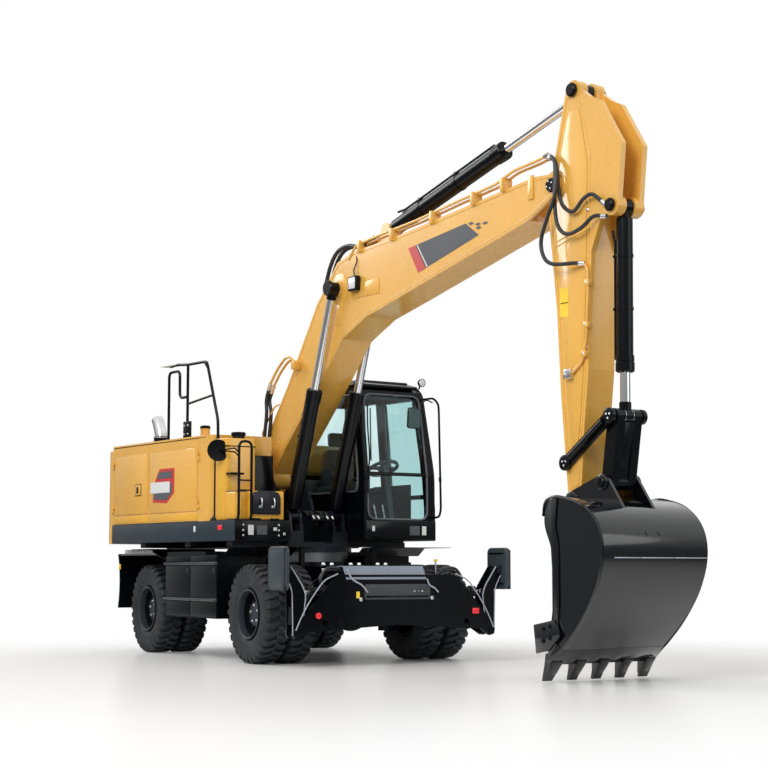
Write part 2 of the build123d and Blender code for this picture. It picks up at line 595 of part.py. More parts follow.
blade_line = ram_line(BLADE_CYL_BASE, BLADE_CYL_EYE)
BLADE_BARREL = distance(BLADE_CYL_BASE, BLADE_CYL_EYE) - 45
with BuildPart() as blade_barrels:
    for side in (1, -1):
        ram_barrel_body((BLADE_CYL_BASE[0], side * BLADE_CYL_Y, BLADE_CYL_BASE[1]), (blade_line[0], 0, blade_line[1]),
                        (0, 1, 0), 36, 20 + PIN_GAP, BLADE_BARREL, 45, 36, 92, 20)
keep(blade_barrels, "blade_barrels")
with BuildPart() as blade_rods:
    for side in (1, -1):
        ram_rod_body((BLADE_CYL_EYE[0], side * BLADE_CYL_Y, BLADE_CYL_EYE[1]), (blade_line[0], 0, blade_line[1]),
                     (0, 1, 0), 20, distance(BLADE_CYL_BASE, BLADE_CYL_EYE) - 65, 34, 2 * BLADE_EYE_HALF)
keep(blade_rods, "blade_rods")

# Upper structure: slewing frame with the boom's bracket and the side skirts
SKIRT = 12.0
SIDE_PLATE_Y = BOOM_HALF_WIDTH + FACE_GAP + BRACKET_PLATE / 2
RAM_EYE = 100.0
RAM_LUG = 30.0
BEAM_LEVEL = 1500.0
FRAME_BOTTOM = GUARD_TOP + 10.0
FRAME_REAR_X = UPPER_REAR_X + 10.0

with BuildPart() as upper_frame:
    with BuildSketch(Plane.XY.offset(BEARING_TOP - 95)):
        Circle(BEARING_INNER - 0.1)
        Circle(BEARING_INNER - 90, mode=Mode.SUBTRACT)
    extrude(amount=97)
    with BuildSketch(Plane.XY.offset(BEARING_TOP + 1)):
        Circle(BEARING_OUTER + 40)
    extrude(amount=60)
    between(FRAME_REAR_X, 640, BOOM_Y - 420, BOOM_Y + 420, FRAME_BOTTOM, FRAME_BOTTOM + 38)
    for side in (1, -1):
        plate([(FRAME_REAR_X, FRAME_BOTTOM + 20), (640, FRAME_BOTTOM + 20), (640, BEAM_LEVEL), (260, BEAM_LEVEL + 10), (20, FOOT_Z - 60),
               (FOOT_X, FOOT_Z + 60), (-330, FOOT_Z - 40), (-900, BEAM_LEVEL), (FRAME_REAR_X, BEAM_LEVEL)],
              BOOM_Y + side * SIDE_PLATE_Y, BRACKET_PLATE)
        boss(FOOT_X, FOOT_Z, BOOM_Y + side * SIDE_PLATE_Y, 125, BRACKET_PLATE)
        for offset in (-1, 1):
            y = BOOM_Y + side * BOOM_CYL_Y + offset * (RAM_EYE / 2 + FACE_GAP + RAM_LUG / 2)
            link_plate(BOOM_CYL_BASE, (BOOM_CYL_BASE[0] + 10, BEAM_LEVEL - 120), y, RAM_LUG, 80, 100)
        between(400, 640, BOOM_Y + side * 200, BOOM_Y + side * 400, 1280, 1440)
        boss(*BOOM_CYL_BASE, BOOM_Y + side * BOOM_CYL_Y, GEAR_PIN_RADIUS, RAM_EYE + 2 * RAM_LUG + 2 * FACE_GAP)
    boss(FOOT_X, FOOT_Z, BOOM_Y, FOOT_PIN_RADIUS, 2 * (BOOM_HALF_WIDTH + FACE_GAP + BRACKET_PLATE) - 2)
    for x in (FRAME_REAR_X + 580, -560, 420):
        between(x, x + 130, -1180, 1180, FRAME_BOTTOM, DECK_BOTTOM)
    between(FRAME_REAR_X, DECK_FRONT_X - SKIRT, -UPPER_HALF_WIDTH + SKIRT, BOOM_Y - 420, DECK_BOTTOM, DECK_BOTTOM + 12)
    between(FRAME_REAR_X, CAB_REAR_X - 30, BOOM_Y + 420, UPPER_HALF_WIDTH - SKIRT, DECK_BOTTOM, DECK_BOTTOM + 12)
    between(FRAME_REAR_X, DECK_FRONT_X, -UPPER_HALF_WIDTH, -UPPER_HALF_WIDTH + SKIRT, DECK_BOTTOM, DECK_TOP)
    between(DECK_FRONT_X - SKIRT, DECK_FRONT_X, -UPPER_HALF_WIDTH, -580, DECK_BOTTOM, DECK_TOP)
    between(FRAME_REAR_X, CAB_REAR_X - 30, UPPER_HALF_WIDTH - SKIRT, UPPER_HALF_WIDTH, DECK_BOTTOM, DECK_TOP)
keep(upper_frame, "upper_frame", turned=True)

CORNER_X = UPPER_REAR_X - 60.0
ROUND_X = 245.0 - TAIL_RADIUS
ROUND_Y = 1165.0
with BuildPart() as counterweight:
    with BuildSketch(Plane.XY.offset(DECK_BOTTOM)):
        with BuildLine():
            tail_y = 960.0
            tail_x = -(TAIL_RADIUS ** 2 - tail_y ** 2) ** 0.5
            Line((UPPER_REAR_X, -UPPER_HALF_WIDTH), (CORNER_X, -UPPER_HALF_WIDTH))
            ThreePointArc((CORNER_X, -UPPER_HALF_WIDTH), (ROUND_X, -ROUND_Y), (tail_x, -tail_y))
            ThreePointArc((tail_x, -tail_y), (-TAIL_RADIUS, 0), (tail_x, tail_y))
            ThreePointArc((tail_x, tail_y), (ROUND_X, ROUND_Y), (CORNER_X, UPPER_HALF_WIDTH))
            Polyline((CORNER_X, UPPER_HALF_WIDTH), (UPPER_REAR_X, UPPER_HALF_WIDTH), (UPPER_REAR_X, -UPPER_HALF_WIDTH))
        make_face()
    extrude(amount=HOOD_TOP - 60 - DECK_BOTTOM)
keep(counterweight, "counterweight", turned=True)

with BuildPart() as engine:
    between(FRAME_REAR_X + 230, FRAME_REAR_X + 930, -460, 420, BEAM_LEVEL, 2250)
keep(engine, "engine", turned=True)

# Hood: top panels and bulkheads, with the doors between them
PANEL = 25.0
HOOD_FRONT_X = -640.0
SIDE_BAY_FRONT_X = 230.0
BAY_INNER_Y = BOOM_Y - BOOM_CYL_Y - 100.0
DOOR_GAP = 6.0
SEAM_X = UPPER_REAR_X + 990.0
CORNER_POST_X = -70.0
REAR_POST_X = UPPER_REAR_X + 40.0
DOOR_BOTTOM = DECK_TOP + DOOR_GAP
DOOR_TOP = HOOD_TOP - PANEL - DOOR_GAP
SEAM_HALF_GAP = 4.0
LEFT_DOOR_FRONT_X = HOOD_FRONT_X - 60.0
HOOD_HINGE_LEVELS = (1750.0, 2300.0)


def hood_hinges(x, side, run, fixed):
    """The two hinges of a hood door at its post."""
    for level in HOOD_HINGE_LEVELS:
        hinge_half((x, side * (UPPER_HALF_WIDTH + HINGE_STAND), level), (0, 0, 1), run,
                   -side * (HINGE_STAND + PANEL / 2), fixed)


with BuildPart() as hood:
    inside_y = UPPER_HALF_WIDTH - PANEL - DOOR_GAP
    between(UPPER_REAR_X, HOOD_FRONT_X, -UPPER_HALF_WIDTH, UPPER_HALF_WIDTH, HOOD_TOP - PANEL, HOOD_TOP)
    between(HOOD_FRONT_X, SIDE_BAY_FRONT_X - 110, -UPPER_HALF_WIDTH, BAY_INNER_Y, HOOD_TOP - PANEL, HOOD_TOP)
    between(UPPER_REAR_X, UPPER_REAR_X + 12, -UPPER_HALF_WIDTH, UPPER_HALF_WIDTH, DECK_TOP, HOOD_TOP)
    between(HOOD_FRONT_X - 12, HOOD_FRONT_X, BAY_INNER_Y - 12, UPPER_HALF_WIDTH, DECK_TOP, HOOD_TOP)
    between(HOOD_FRONT_X - 60, HOOD_FRONT_X + 60, BOOM_Y - 260, BOOM_Y + 260, DECK_TOP - 50, 2200, mode=Mode.SUBTRACT)
    between(SEAM_X - 10, SEAM_X + 10, -inside_y, inside_y, 2260, HOOD_TOP)
    for y0, y1 in ((-inside_y, BOOM_Y - 250), (BOOM_Y + 250, inside_y)):
        between(SEAM_X - 10, SEAM_X + 10, y0, y1, DECK_BOTTOM + 12, 2300)
    between(HOOD_FRONT_X, SIDE_BAY_FRONT_X, BAY_INNER_Y - 12, BAY_INNER_Y, DECK_BOTTOM + 12, HOOD_TOP)
    for side in (1, -1):
        between(UPPER_REAR_X, REAR_POST_X, side * UPPER_HALF_WIDTH, side * (UPPER_HALF_WIDTH - PANEL), DECK_TOP, HOOD_TOP)
    between(LEFT_DOOR_FRONT_X, HOOD_FRONT_X, UPPER_HALF_WIDTH, UPPER_HALF_WIDTH - PANEL, DECK_TOP, HOOD_TOP)
    with BuildSketch(Plane.XY.offset(DECK_TOP)):
        with BuildLine():
            Polyline((SIDE_BAY_FRONT_X, BAY_INNER_Y), (SIDE_BAY_FRONT_X, -UPPER_HALF_WIDTH + 130))
            TangentArc((SIDE_BAY_FRONT_X, -UPPER_HALF_WIDTH + 130), (SIDE_BAY_FRONT_X - 130, -UPPER_HALF_WIDTH),
                       tangent=(0, -1))
            Polyline((SIDE_BAY_FRONT_X - 130, -UPPER_HALF_WIDTH), (CORNER_POST_X, -UPPER_HALF_WIDTH),
                     (CORNER_POST_X, -UPPER_HALF_WIDTH + PANEL),
                     (SIDE_BAY_FRONT_X - 130, -UPPER_HALF_WIDTH + PANEL))
            TangentArc((SIDE_BAY_FRONT_X - 130, -UPPER_HALF_WIDTH + PANEL),
                       (SIDE_BAY_FRONT_X - PANEL, -UPPER_HALF_WIDTH + 130), tangent=(1, 0))
            Polyline((SIDE_BAY_FRONT_X - PANEL, -UPPER_HALF_WIDTH + 130), (SIDE_BAY_FRONT_X - PANEL, BAY_INNER_Y),
                     (SIDE_BAY_FRONT_X, BAY_INNER_Y))
        make_face()
    extrude(amount=HOOD_TOP - DECK_TOP)
    hood_hinges(REAR_POST_X, 1, -1, True)
    hood_hinges(REAR_POST_X, -1, -1, True)
    hood_hinges(CORNER_POST_X, -1, 1, True)
keep(hood, "hood", turned=True)

for name, x0, x1, side, hinge_x in (
        ("hood_door_right_rear", REAR_POST_X + DOOR_GAP, SEAM_X - SEAM_HALF_GAP, -1, REAR_POST_X),
        ("hood_door_right_front", SEAM_X + SEAM_HALF_GAP, CORNER_POST_X - DOOR_GAP, -1, CORNER_POST_X),
        ("hood_door_left", REAR_POST_X + DOOR_GAP, LEFT_DOOR_FRONT_X - DOOR_GAP, 1, REAR_POST_X)):
    with BuildPart() as door_panel:
        between(x0, x1, side * UPPER_HALF_WIDTH, side * (UPPER_HALF_WIDTH - PANEL), DOOR_BOTTOM, DOOR_TOP)
        hood_hinges(hinge_x, side, 1 if hinge_x < x0 else -1, False)
    keep(door_panel, name, turned=True)

with BuildPart() as tank:
    x0 = SIDE_BAY_FRONT_X + 20
    between(x0, DECK_FRONT_X, -UPPER_HALF_WIDTH, -960, DECK_TOP, 2480)
    between(x0, 470, -960, BAY_INNER_Y - 40, DECK_BOTTOM + 12, 2380)
    between(470, DECK_FRONT_X, -1050, -640, DECK_TOP, 1880)
    for level in (1700, 1990, 2280):
        between(DECK_FRONT_X - 170, DECK_FRONT_X, -UPPER_HALF_WIDTH + 40, -1000, level, level + 170, mode=Mode.SUBTRACT)
keep(tank, "tank_and_steps", turned=True)


def tube(points, radius, bend):
    """A bent tube through the given corners."""
    with BuildLine() as path:
        FilletPolyline(*points, radius=bend)
    with BuildSketch(Plane(origin=path.line @ 0, z_dir=path.line % 0)) as section:
        Circle(radius)
    sweep(section.sketch, path=path.line)


RAIL = 17.0
with BuildPart() as handrails:
    tube([(-1080, -1200, HOOD_TOP), (-1080, -1200, 3420), (-30, -1200, 3400), (290, -1200, 2740),
          (290, -1200, 2480)], RAIL, 90)
    between(-557, -523, -1217, -1183, HOOD_TOP, 3405)
keep(handrails, "handrails", turned=True)

with BuildPart() as exhaust:
    pipe_x = UPPER_REAR_X + 510
    tube([(pipe_x, -880, HOOD_TOP), (pipe_x, -880, 2640), (pipe_x - 120, -880, 2870)], 60, 60)
keep(exhaust, "exhaust", turned=True)

# Cab: one shell with its windows cut, the glass set in the wall, and the door in the left side
WINDSCREEN_BAR = 2105.0
GLASS_DEPTH = 24.0
DOOR_REAR_X = 60.0
DOOR_FRONT_X = 925.0
CAB_SIDE_DOOR_BOTTOM = 1500.0
CAB_SIDE_DOOR_TOP = 3075.0
CAB_HINGE_X = 57.0
CAB_HINGE_Z = 1620.0
CAB_HINGE_OUT = 16.0      # from the wall out to the hinge line, at CAB_HINGE_Z
CAB_HINGE_LEAN = 0.0783   # how far the hinge line leans in per mm of height, as the wall does
CAB_HINGE_LEVELS = (CAB_HINGE_Z, 2700.0)


def cab_volume(inset):
    """The cab's outer form, drawn in by inset: its side profile met by its front profile."""
    with BuildPart() as form:
        with BuildSketch(side_plane((CAB_RIGHT_Y + CAB_LEFT_Y) / 2)) as profile:
            Polygon((CAB_REAR_X + inset, CAB_BOTTOM + inset), (CAB_FRONT_X - inset, CAB_BOTTOM + inset),
                    (CAB_FRONT_X - inset, 2100), (CAB_FRONT_X - 115 - inset, CAB_TOP - 90),
                    (CAB_FRONT_X - 230 - inset, CAB_TOP - inset), (CAB_REAR_X + 60 + inset, CAB_TOP - 20 - inset),
                    (CAB_REAR_X + inset, CAB_TOP - 120), align=None)
        extrude(profile.sketch, amount=(CAB_LEFT_Y - CAB_RIGHT_Y) / 2 + 10, both=True)
        with BuildSketch(cross_plane((CAB_REAR_X + CAB_FRONT_X) / 2)) as front:
            Polygon((CAB_RIGHT_Y + inset, CAB_BOTTOM + inset), (CAB_LEFT_Y - inset, CAB_BOTTOM + inset),
                    (CAB_LEFT_Y - inset, 1700), (CAB_LEFT_Y - 65 - inset, 2500), (CAB_LEFT_Y - 110 - inset, CAB_TOP - 70),
                    (CAB_LEFT_Y - 175 - inset, CAB_TOP - inset), (CAB_RIGHT_Y + 60 + inset, CAB_TOP - inset),
                    (CAB_RIGHT_Y + inset, CAB_TOP - 60 - inset), align=None)
        extrude(front.sketch, amount=CAB_FRONT_X - CAB_REAR_X, both=True, mode=Mode.INTERSECT)
    return form.part


def window_blocks():
    """Blocks through the walls where the fixed glass sits."""
    with BuildPart() as blocks:
        between(CAB_FRONT_X - 300, CAB_FRONT_X + 50, 352, 1175, 1590, WINDSCREEN_BAR - 20)
        between(CAB_FRONT_X - 200, CAB_FRONT_X + 50, 352, 1130, WINDSCREEN_BAR + 20, 3030)
        plate([(-520, 1900), (860, 1900), (860, 2100), (760, 3030), (-520, 3030)], CAB_RIGHT_Y + 25, 150)
        between(CAB_REAR_X - 50, CAB_REAR_X + 150, 420, 1090, 2150, 3000)
        between(-520, DOOR_REAR_X - 70, CAB_LEFT_Y - 250, CAB_LEFT_Y + 50, 1950, 3020)
    return blocks.part


def door_block(gap):
    """A block through the left side, as large as the door and a gap round it.

    The gap is wider in front and on top, where the door's inner edge swings out."""
    with BuildPart() as block:
        front_top = DOOR_FRONT_X - (CAB_SIDE_DOOR_TOP - 2100) * 0.12
        front_gap = 1.5 * gap
        top = CAB_SIDE_DOOR_TOP + 2 * gap
        plate([(DOOR_REAR_X - gap, CAB_SIDE_DOOR_BOTTOM - gap), (DOOR_FRONT_X + front_gap, CAB_SIDE_DOOR_BOTTOM - gap),
               (DOOR_FRONT_X + front_gap, 2100), (front_top + front_gap, top), (DOOR_REAR_X - gap, top)],
              CAB_LEFT_Y - 100, 300)
    return block.part


def door_window():
    with BuildPart() as block:
        plate([(DOOR_REAR_X + 75, 1880), (DOOR_FRONT_X - 75, 1880), (DOOR_FRONT_X - 75, 2100),
               (DOOR_FRONT_X - 75 - 108, 3000), (DOOR_REAR_X + 75, 3000)], CAB_LEFT_Y - 100, 300)
        between(DOOR_REAR_X + 75, DOOR_FRONT_X - 75, CAB_LEFT_Y - 250, CAB_LEFT_Y + 50, 1570, 1830)
    return block.part


def cab_hinges(run, fixed):
    """The cab door's hinges, on a line that leans in with the wall."""
    lean = hypot(1, CAB_HINGE_LEAN)
    for level in CAB_HINGE_LEVELS:
        y = CAB_LEFT_Y + CAB_HINGE_OUT - CAB_HINGE_LEAN * (level - CAB_HINGE_Z)
        hinge_half((CAB_HINGE_X, y, level), (0, -CAB_HINGE_LEAN / lean, 1 / lean), run, -CAB_HINGE_OUT - 14, fixed)


cab_outer = cab_volume(0)
cab_inner = cab_volume(CAB_WALL)
windows = window_blocks()
door_glazing = door_window()
glass_sheet = cab_volume(GLASS_DEPTH) - cab_volume(GLASS_DEPTH + GLASS)

with BuildPart() as cab_shell:
    add(cab_outer)
    add(cab_inner, mode=Mode.SUBTRACT)
    add(windows, mode=Mode.SUBTRACT)
    add(door_block(DOOR_GAP), mode=Mode.SUBTRACT)
    for x in (CAB_REAR_X + 70, CAB_FRONT_X - 560):
        between(x, x + 100, CAB_RIGHT_Y + 60, CAB_LEFT_Y - 130, DECK_BOTTOM, CAB_BOTTOM)
    cab_hinges(-1, True)
keep(cab_shell, "cab_shell", turned=True)

with BuildPart() as cab_glass:
    add(glass_sheet)
    add(windows, mode=Mode.INTERSECT)
keep(cab_glass, "cab_glass", turned=True)

with BuildPart() as cab_door:
    add(cab_outer)
    add(cab_inner, mode=Mode.SUBTRACT)
    add(door_block(0), mode=Mode.INTERSECT)
    add(door_glazing, mode=Mode.SUBTRACT)
    cab_hinges(1, False)
keep(cab_door, "cab_door", turned=True)

with BuildPart() as door_glass:
    add(glass_sheet)
    add(door_glazing, mode=Mode.INTERSECT)
keep(door_glass, "door_glass", turned=True)

SEAT_Y = (CAB_RIGHT_Y + CAB_LEFT_Y) / 2
CAB_FLOOR_TOP = CAB_BOTTOM + CAB_WALL
with BuildPart() as operator_seat:
    between(-300, 180, SEAT_Y - 200, SEAT_Y + 200, CAB_FLOOR_TOP, 1750)
    between(-330, 230, SEAT_Y - 250, SEAT_Y + 250, 1750, 1880)
    between(-400, -270, SEAT_Y - 240, SEAT_Y + 240, 1850, 2480)
    between(-385, -295, SEAT_Y - 130, SEAT_Y + 130, 2480, 2680)
    for side in (1, -1):
        between(-250, 330, SEAT_Y + side * 260, SEAT_Y + side * 370, 1880, 2000)
        between(-200, 150, SEAT_Y + side * 250, SEAT_Y + side * 370, CAB_FLOOR_TOP, 1880)
keep(operator_seat, "operator_seat", turned=True)

with BuildPart() as steering_column:
    between(700, 860, SEAT_Y - 70, SEAT_Y + 70, CAB_FLOOR_TOP, 1560)
    with BuildSketch(side_plane(SEAT_Y)) as shape:
        Polygon((760, 1550), (840, 1550), (700, 2190), (620, 2175), align=None)
    extrude(shape.sketch, amount=35, both=True)
    wheel_plane = Plane(origin=(640, SEAT_Y, 2190), x_dir=(0, 1, 0), z_dir=(-sin(radians(25)), 0, cos(radians(25))))
    with BuildSketch(wheel_plane) as wheel:
        Circle(190)
        Circle(160, mode=Mode.SUBTRACT)
        Rectangle(340, 40)
        Circle(50)
    extrude(wheel.sketch, amount=15, both=True)
keep(steering_column, "steering_column", turned=True)

# Boom
TIP_SLOT_HALF = ARM_HALF_WIDTH + FACE_GAP
TIP_SLOT_X = 4690.0
TIP_PIN_RADIUS = 45.0
with BuildPart() as boom:
    with BuildSketch(side_plane(BOOM_Y)):
        with BuildLine():
            FilletPolyline(
                (-270, 2210), (-80, 2060), (212, 2390), (995, 3124), (1430, 3560), (1900, 3755), (2549, 3891),
                (4669, 4352), (5120, 4560), (5120, 4745), (4804, 4768), (2550, 4564), (1644, 4515), (1330, 4440),
                (900, 4010), (274, 3132), (-115, 2653), radius=60, close=True)
        make_face()
    extrude(amount=BOOM_HALF_WIDTH, both=True)
    boss(FOOT_X, FOOT_Z, BOOM_Y, 128, 2 * BOOM_HALF_WIDTH)
    boss(*BOOM_TIP, BOOM_Y, 115, 2 * BOOM_HALF_WIDTH)
    between(TIP_SLOT_X, 5300, BOOM_Y - TIP_SLOT_HALF, BOOM_Y + TIP_SLOT_HALF, 4200, 4900, mode=Mode.SUBTRACT)
    for side in (1, -1):
        link_plate(ARM_CYL_BASE, (ARM_CYL_BASE[0] - 60, 4500), BOOM_Y + side * (RAM_EYE / 2 + FACE_GAP + RAM_LUG / 2),
                   RAM_LUG, 80, 120)
    boss(*ARM_CYL_BASE, BOOM_Y, GEAR_PIN_RADIUS, RAM_EYE + 2 * FACE_GAP + 2 * RAM_LUG - 2)
    boss(*BOOM_TIP, BOOM_Y, TIP_PIN_RADIUS, 2 * BOOM_HALF_WIDTH + 60)
    boss(*BOOM_CYL_EYE, BOOM_Y, 90, 2 * (BOOM_CYL_Y - RAM_EYE / 2 - FACE_GAP))
    boss(FOOT_X, FOOT_Z, BOOM_Y, FOOT_PIN_RADIUS + PIN_GAP, 4 * BOOM_HALF_WIDTH, Mode.SUBTRACT)
keep(boom, "boom", turned=True)

# Rams of the boom, arm and bucket
RAM_RADIUS = 70.0
RAM_ROD_RADIUS = 42.0
BOOM_BARREL = 1470.0
ARM_BARREL = 2050.0
BUCKET_BARREL = 1520.0
RAM_BOTTOM = 110.0
ROD_MARGIN = 20.0
BOOM_RAM_CLOSED = 1800.0
ARM_RAM_CLOSED = 2200.0
BUCKET_RAM_CLOSED = 1680.0


def gear_ram(base, eye, offsets, barrel_length, closed, barrel_name, rod_name):
    """Barrels and rods of the rams that stand between two pins of the working gear."""
    line = ram_line(base, eye)
    along = (line[0], 0, line[1])
    inside = distance(base, eye) - RAM_BOTTOM - ROD_MARGIN - (distance(base, eye) - closed)
    with BuildPart() as barrels:
        for offset in offsets:
            ram_barrel_body((base[0], BOOM_Y + offset, base[1]), along, (0, 1, 0), RAM_RADIUS,
                            RAM_ROD_RADIUS + PIN_GAP, barrel_length, RAM_BOTTOM, 75, RAM_EYE, GEAR_PIN_RADIUS)
    keep(barrels, barrel_name, turned=True)
    with BuildPart() as rods:
        for offset in offsets:
            ram_rod_body((eye[0], BOOM_Y + offset, eye[1]), along, (0, 1, 0), RAM_ROD_RADIUS, inside, 70, RAM_EYE)
            if offset:
                outward = 1 if offset > 0 else -1
                boss(*eye, BOOM_Y + offset + outward * RAM_EYE / 2, 48, 24)
    keep(rods, rod_name, turned=True)


gear_ram(BOOM_CYL_BASE, BOOM_CYL_EYE, (-BOOM_CYL_Y, BOOM_CYL_Y), BOOM_BARREL, BOOM_RAM_CLOSED,
         "boom_barrels", "boom_rods")
gear_ram(ARM_CYL_BASE, ARM_CYL_EYE, (0,), ARM_BARREL, ARM_RAM_CLOSED, "arm_barrel", "arm_rod")
gear_ram(BUCKET_CYL_BASE, LINK_PIN, (0,), BUCKET_BARREL, BUCKET_RAM_CLOSED, "bucket_barrel", "bucket_rod")

# Arm: a box with two bracket plates on its front for the bucket's ram
GUSSET = 55.0
with BuildPart() as arm:
    with BuildSketch(side_plane(BOOM_Y)):
        with BuildLine():
            FilletPolyline(
                (5225, 5520), (5060, 4925), (4955, 4373), (5062, 3444), (5110, 2611), (5200, 1640), (5372, 1640),
                (5427, 2282), (5497, 2842), (5546, 3646), (5600, 4876), (5400, 5560), radius=50, close=True)
        make_face()
    extrude(amount=ARM_HALF_WIDTH, both=True)
    for side in (1, -1):
        plate([(5350, 5560), (5560, 5400), (5700, 5330), (5990, 4876), (5920, 4280), (5700, 4230), (5540, 3900), (5500, 4300)],
              BOOM_Y + side * (ARM_HALF_WIDTH - GUSSET / 2), GUSSET)
    boss(*ARM_CYL_EYE, BOOM_Y, 95, 2 * ARM_HALF_WIDTH)
    boss(*BUCKET_CYL_BASE, BOOM_Y, 95, 2 * ARM_HALF_WIDTH)
    boss(*BOOM_TIP, BOOM_Y, 120, 2 * ARM_HALF_WIDTH)
    boss(*ARM_TIP, BOOM_Y, 90, 2 * ARM_HALF_WIDTH)
    boss(*ARM_CYL_EYE, BOOM_Y, 200, RAM_EYE + 2 * FACE_GAP, Mode.SUBTRACT)
    boss(*BUCKET_CYL_BASE, BOOM_Y, 140, 2 * (RAM_EYE / 2 + FACE_GAP), Mode.SUBTRACT)
    pin_stubs(ARM_CYL_EYE, BOOM_Y, GEAR_PIN_RADIUS, RAM_EYE / 2 + FACE_GAP, ARM_HALF_WIDTH + 20)
    boss(*BUCKET_CYL_BASE, BOOM_Y, GEAR_PIN_RADIUS, 2 * ARM_HALF_WIDTH + 40)
    boss(*BOOM_TIP, BOOM_Y, TIP_PIN_RADIUS + PIN_GAP, 4 * ARM_HALF_WIDTH, Mode.SUBTRACT)
    boss(*ARM_TIP, BOOM_Y, GEAR_PIN_RADIUS + PIN_GAP, 4 * ARM_HALF_WIDTH, Mode.SUBTRACT)
    boss(*IDLER_PIN, BOOM_Y, GEAR_PIN_RADIUS, 2 * (ARM_HALF_WIDTH + FACE_GAP + RAM_LUG) + 10)
keep(arm, "arm", turned=True)

# Bucket linkage
IDLER_Y = ARM_HALF_WIDTH + FACE_GAP + RAM_LUG / 2
LINK_INNER = RAM_EYE / 2 + FACE_GAP
LINK_OUTER = ARM_HALF_WIDTH - 10
with BuildPart() as idler_links:
    for side in (1, -1):
        link_plate(IDLER_PIN, LINK_PIN, BOOM_Y + side * IDLER_Y, RAM_LUG, 60, 56)
        boss(*IDLER_PIN, BOOM_Y + side * IDLER_Y, GEAR_PIN_RADIUS + PIN_GAP, 2 * RAM_LUG, Mode.SUBTRACT)
    pin_stubs(LINK_PIN, BOOM_Y, GEAR_PIN_RADIUS, LINK_OUTER + FACE_GAP, IDLER_Y + RAM_LUG)
keep(idler_links, "idler_links", turned=True)

with BuildPart() as bucket_link:
    for side in (1, -1):
        middle = (LINK_INNER + LINK_OUTER) / 2
        link_plate(LINK_PIN, BUCKET_LINK_PIN, BOOM_Y + side * middle, LINK_OUTER - LINK_INNER, 68, 68)
    boss(*BUCKET_LINK_PIN, BOOM_Y, 68, 2 * LINK_OUTER)
    with BuildSketch(side_plane(BOOM_Y)) as web:
        Polygon((5680, 1800), (5770, 1800), (5830, 2180), (5740, 2180), align=None)
    extrude(web.sketch, amount=LINK_INNER + 5, both=True)
    boss(*BUCKET_LINK_PIN, BOOM_Y, GEAR_PIN_RADIUS + PIN_GAP, 4 * LINK_OUTER, Mode.SUBTRACT)
keep(bucket_link, "bucket_link", turned=True)

# Bucket
BUCKET_WALL = 25.0
SIDE_WALL = 30.0
TOOTH_WIDTH = 95.0
EAR_Y = ARM_HALF_WIDTH + FACE_GAP + RAM_LUG / 2
TOOTH_COUNT = 5
with BuildPart() as bucket:
    with BuildSketch(side_plane(BOOM_Y)) as skin:
        with BuildLine():
            Spline((5470, 1655), (5700, 1640), (5960, 1560), (6145, 1380), (6195, 1180), (6120, 880), (5930, 600), (5700, 370),
                   (5440, 170))
            Line((5440, 170), (5420, 190))
            Spline((5420, 190), (5680, 392), (5906, 620), (6092, 892), (6165, 1180), (6118, 1368), (5946, 1533), (5695, 1612),
                   (5470, 1627))
            Line((5470, 1627), (5470, 1655))
        make_face()
    extrude(amount=BUCKET_HALF_WIDTH, both=True)
    for side in (1, -1):
        with BuildSketch(side_plane(BOOM_Y + side * (BUCKET_HALF_WIDTH - SIDE_WALL / 2))) as side_plate:
            with BuildLine():
                Spline((5470, 1655), (5700, 1640), (5960, 1560), (6145, 1380), (6195, 1180), (6120, 880), (5930, 600),
                       (5700, 370), (5440, 170))
                Polyline((5440, 170), (5420, 190), (5500, 640), (5500, 960))
                Spline((5500, 960), (5480, 1220), (5405, 1400), (5410, 1560), (5470, 1655), tangents=[(0, 1), (1, 0.2)])
            make_face()
        extrude(side_plate.sketch, amount=SIDE_WALL / 2, both=True)
    for side in (1, -1):
        with BuildSketch(side_plane(BOOM_Y + side * EAR_Y)) as ear:
            with Locations(ARM_TIP):
                Circle(85)
            with Locations(BUCKET_LINK_PIN):
                Circle(74)
            with Locations((5500, 1640), (5960, 1545)):
                Circle(18)
            make_hull()
        extrude(ear.sketch, amount=RAM_LUG / 2, both=True)
    for step in range(TOOTH_COUNT):
        y = BOOM_Y - BUCKET_HALF_WIDTH + TOOTH_WIDTH / 2 + step * (2 * BUCKET_HALF_WIDTH - TOOTH_WIDTH) / (TOOTH_COUNT - 1)
        plate([(5560, 275), (5520, 320), (5400, 230), (5345, 14), (5375, 12), (5480, 170)], y, TOOTH_WIDTH)
    boss(*ARM_TIP, BOOM_Y, GEAR_PIN_RADIUS, 2 * EAR_Y + RAM_LUG + 6)
    boss(*BUCKET_LINK_PIN, BOOM_Y, GEAR_PIN_RADIUS, 2 * EAR_Y + RAM_LUG + 6)
keep(bucket, "bucket", turned=True)

# The origin goes under the middle of the whole machine, on the ground
extent = Compound(list(finished.values())).bounding_box()
to_origin = Location((-(extent.min.X + extent.max.X) / 2, -(extent.min.Y + extent.max.Y) / 2, 0))
for name, solid in finished.items():
    piece = solid.moved(to_origin)
    piece.label = name
    export_step(piece, "parts/" + name + ".step")
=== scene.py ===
import json
from math import cos, pi, radians, sin

import bmesh
import bpy
from mathutils import Matrix, Vector


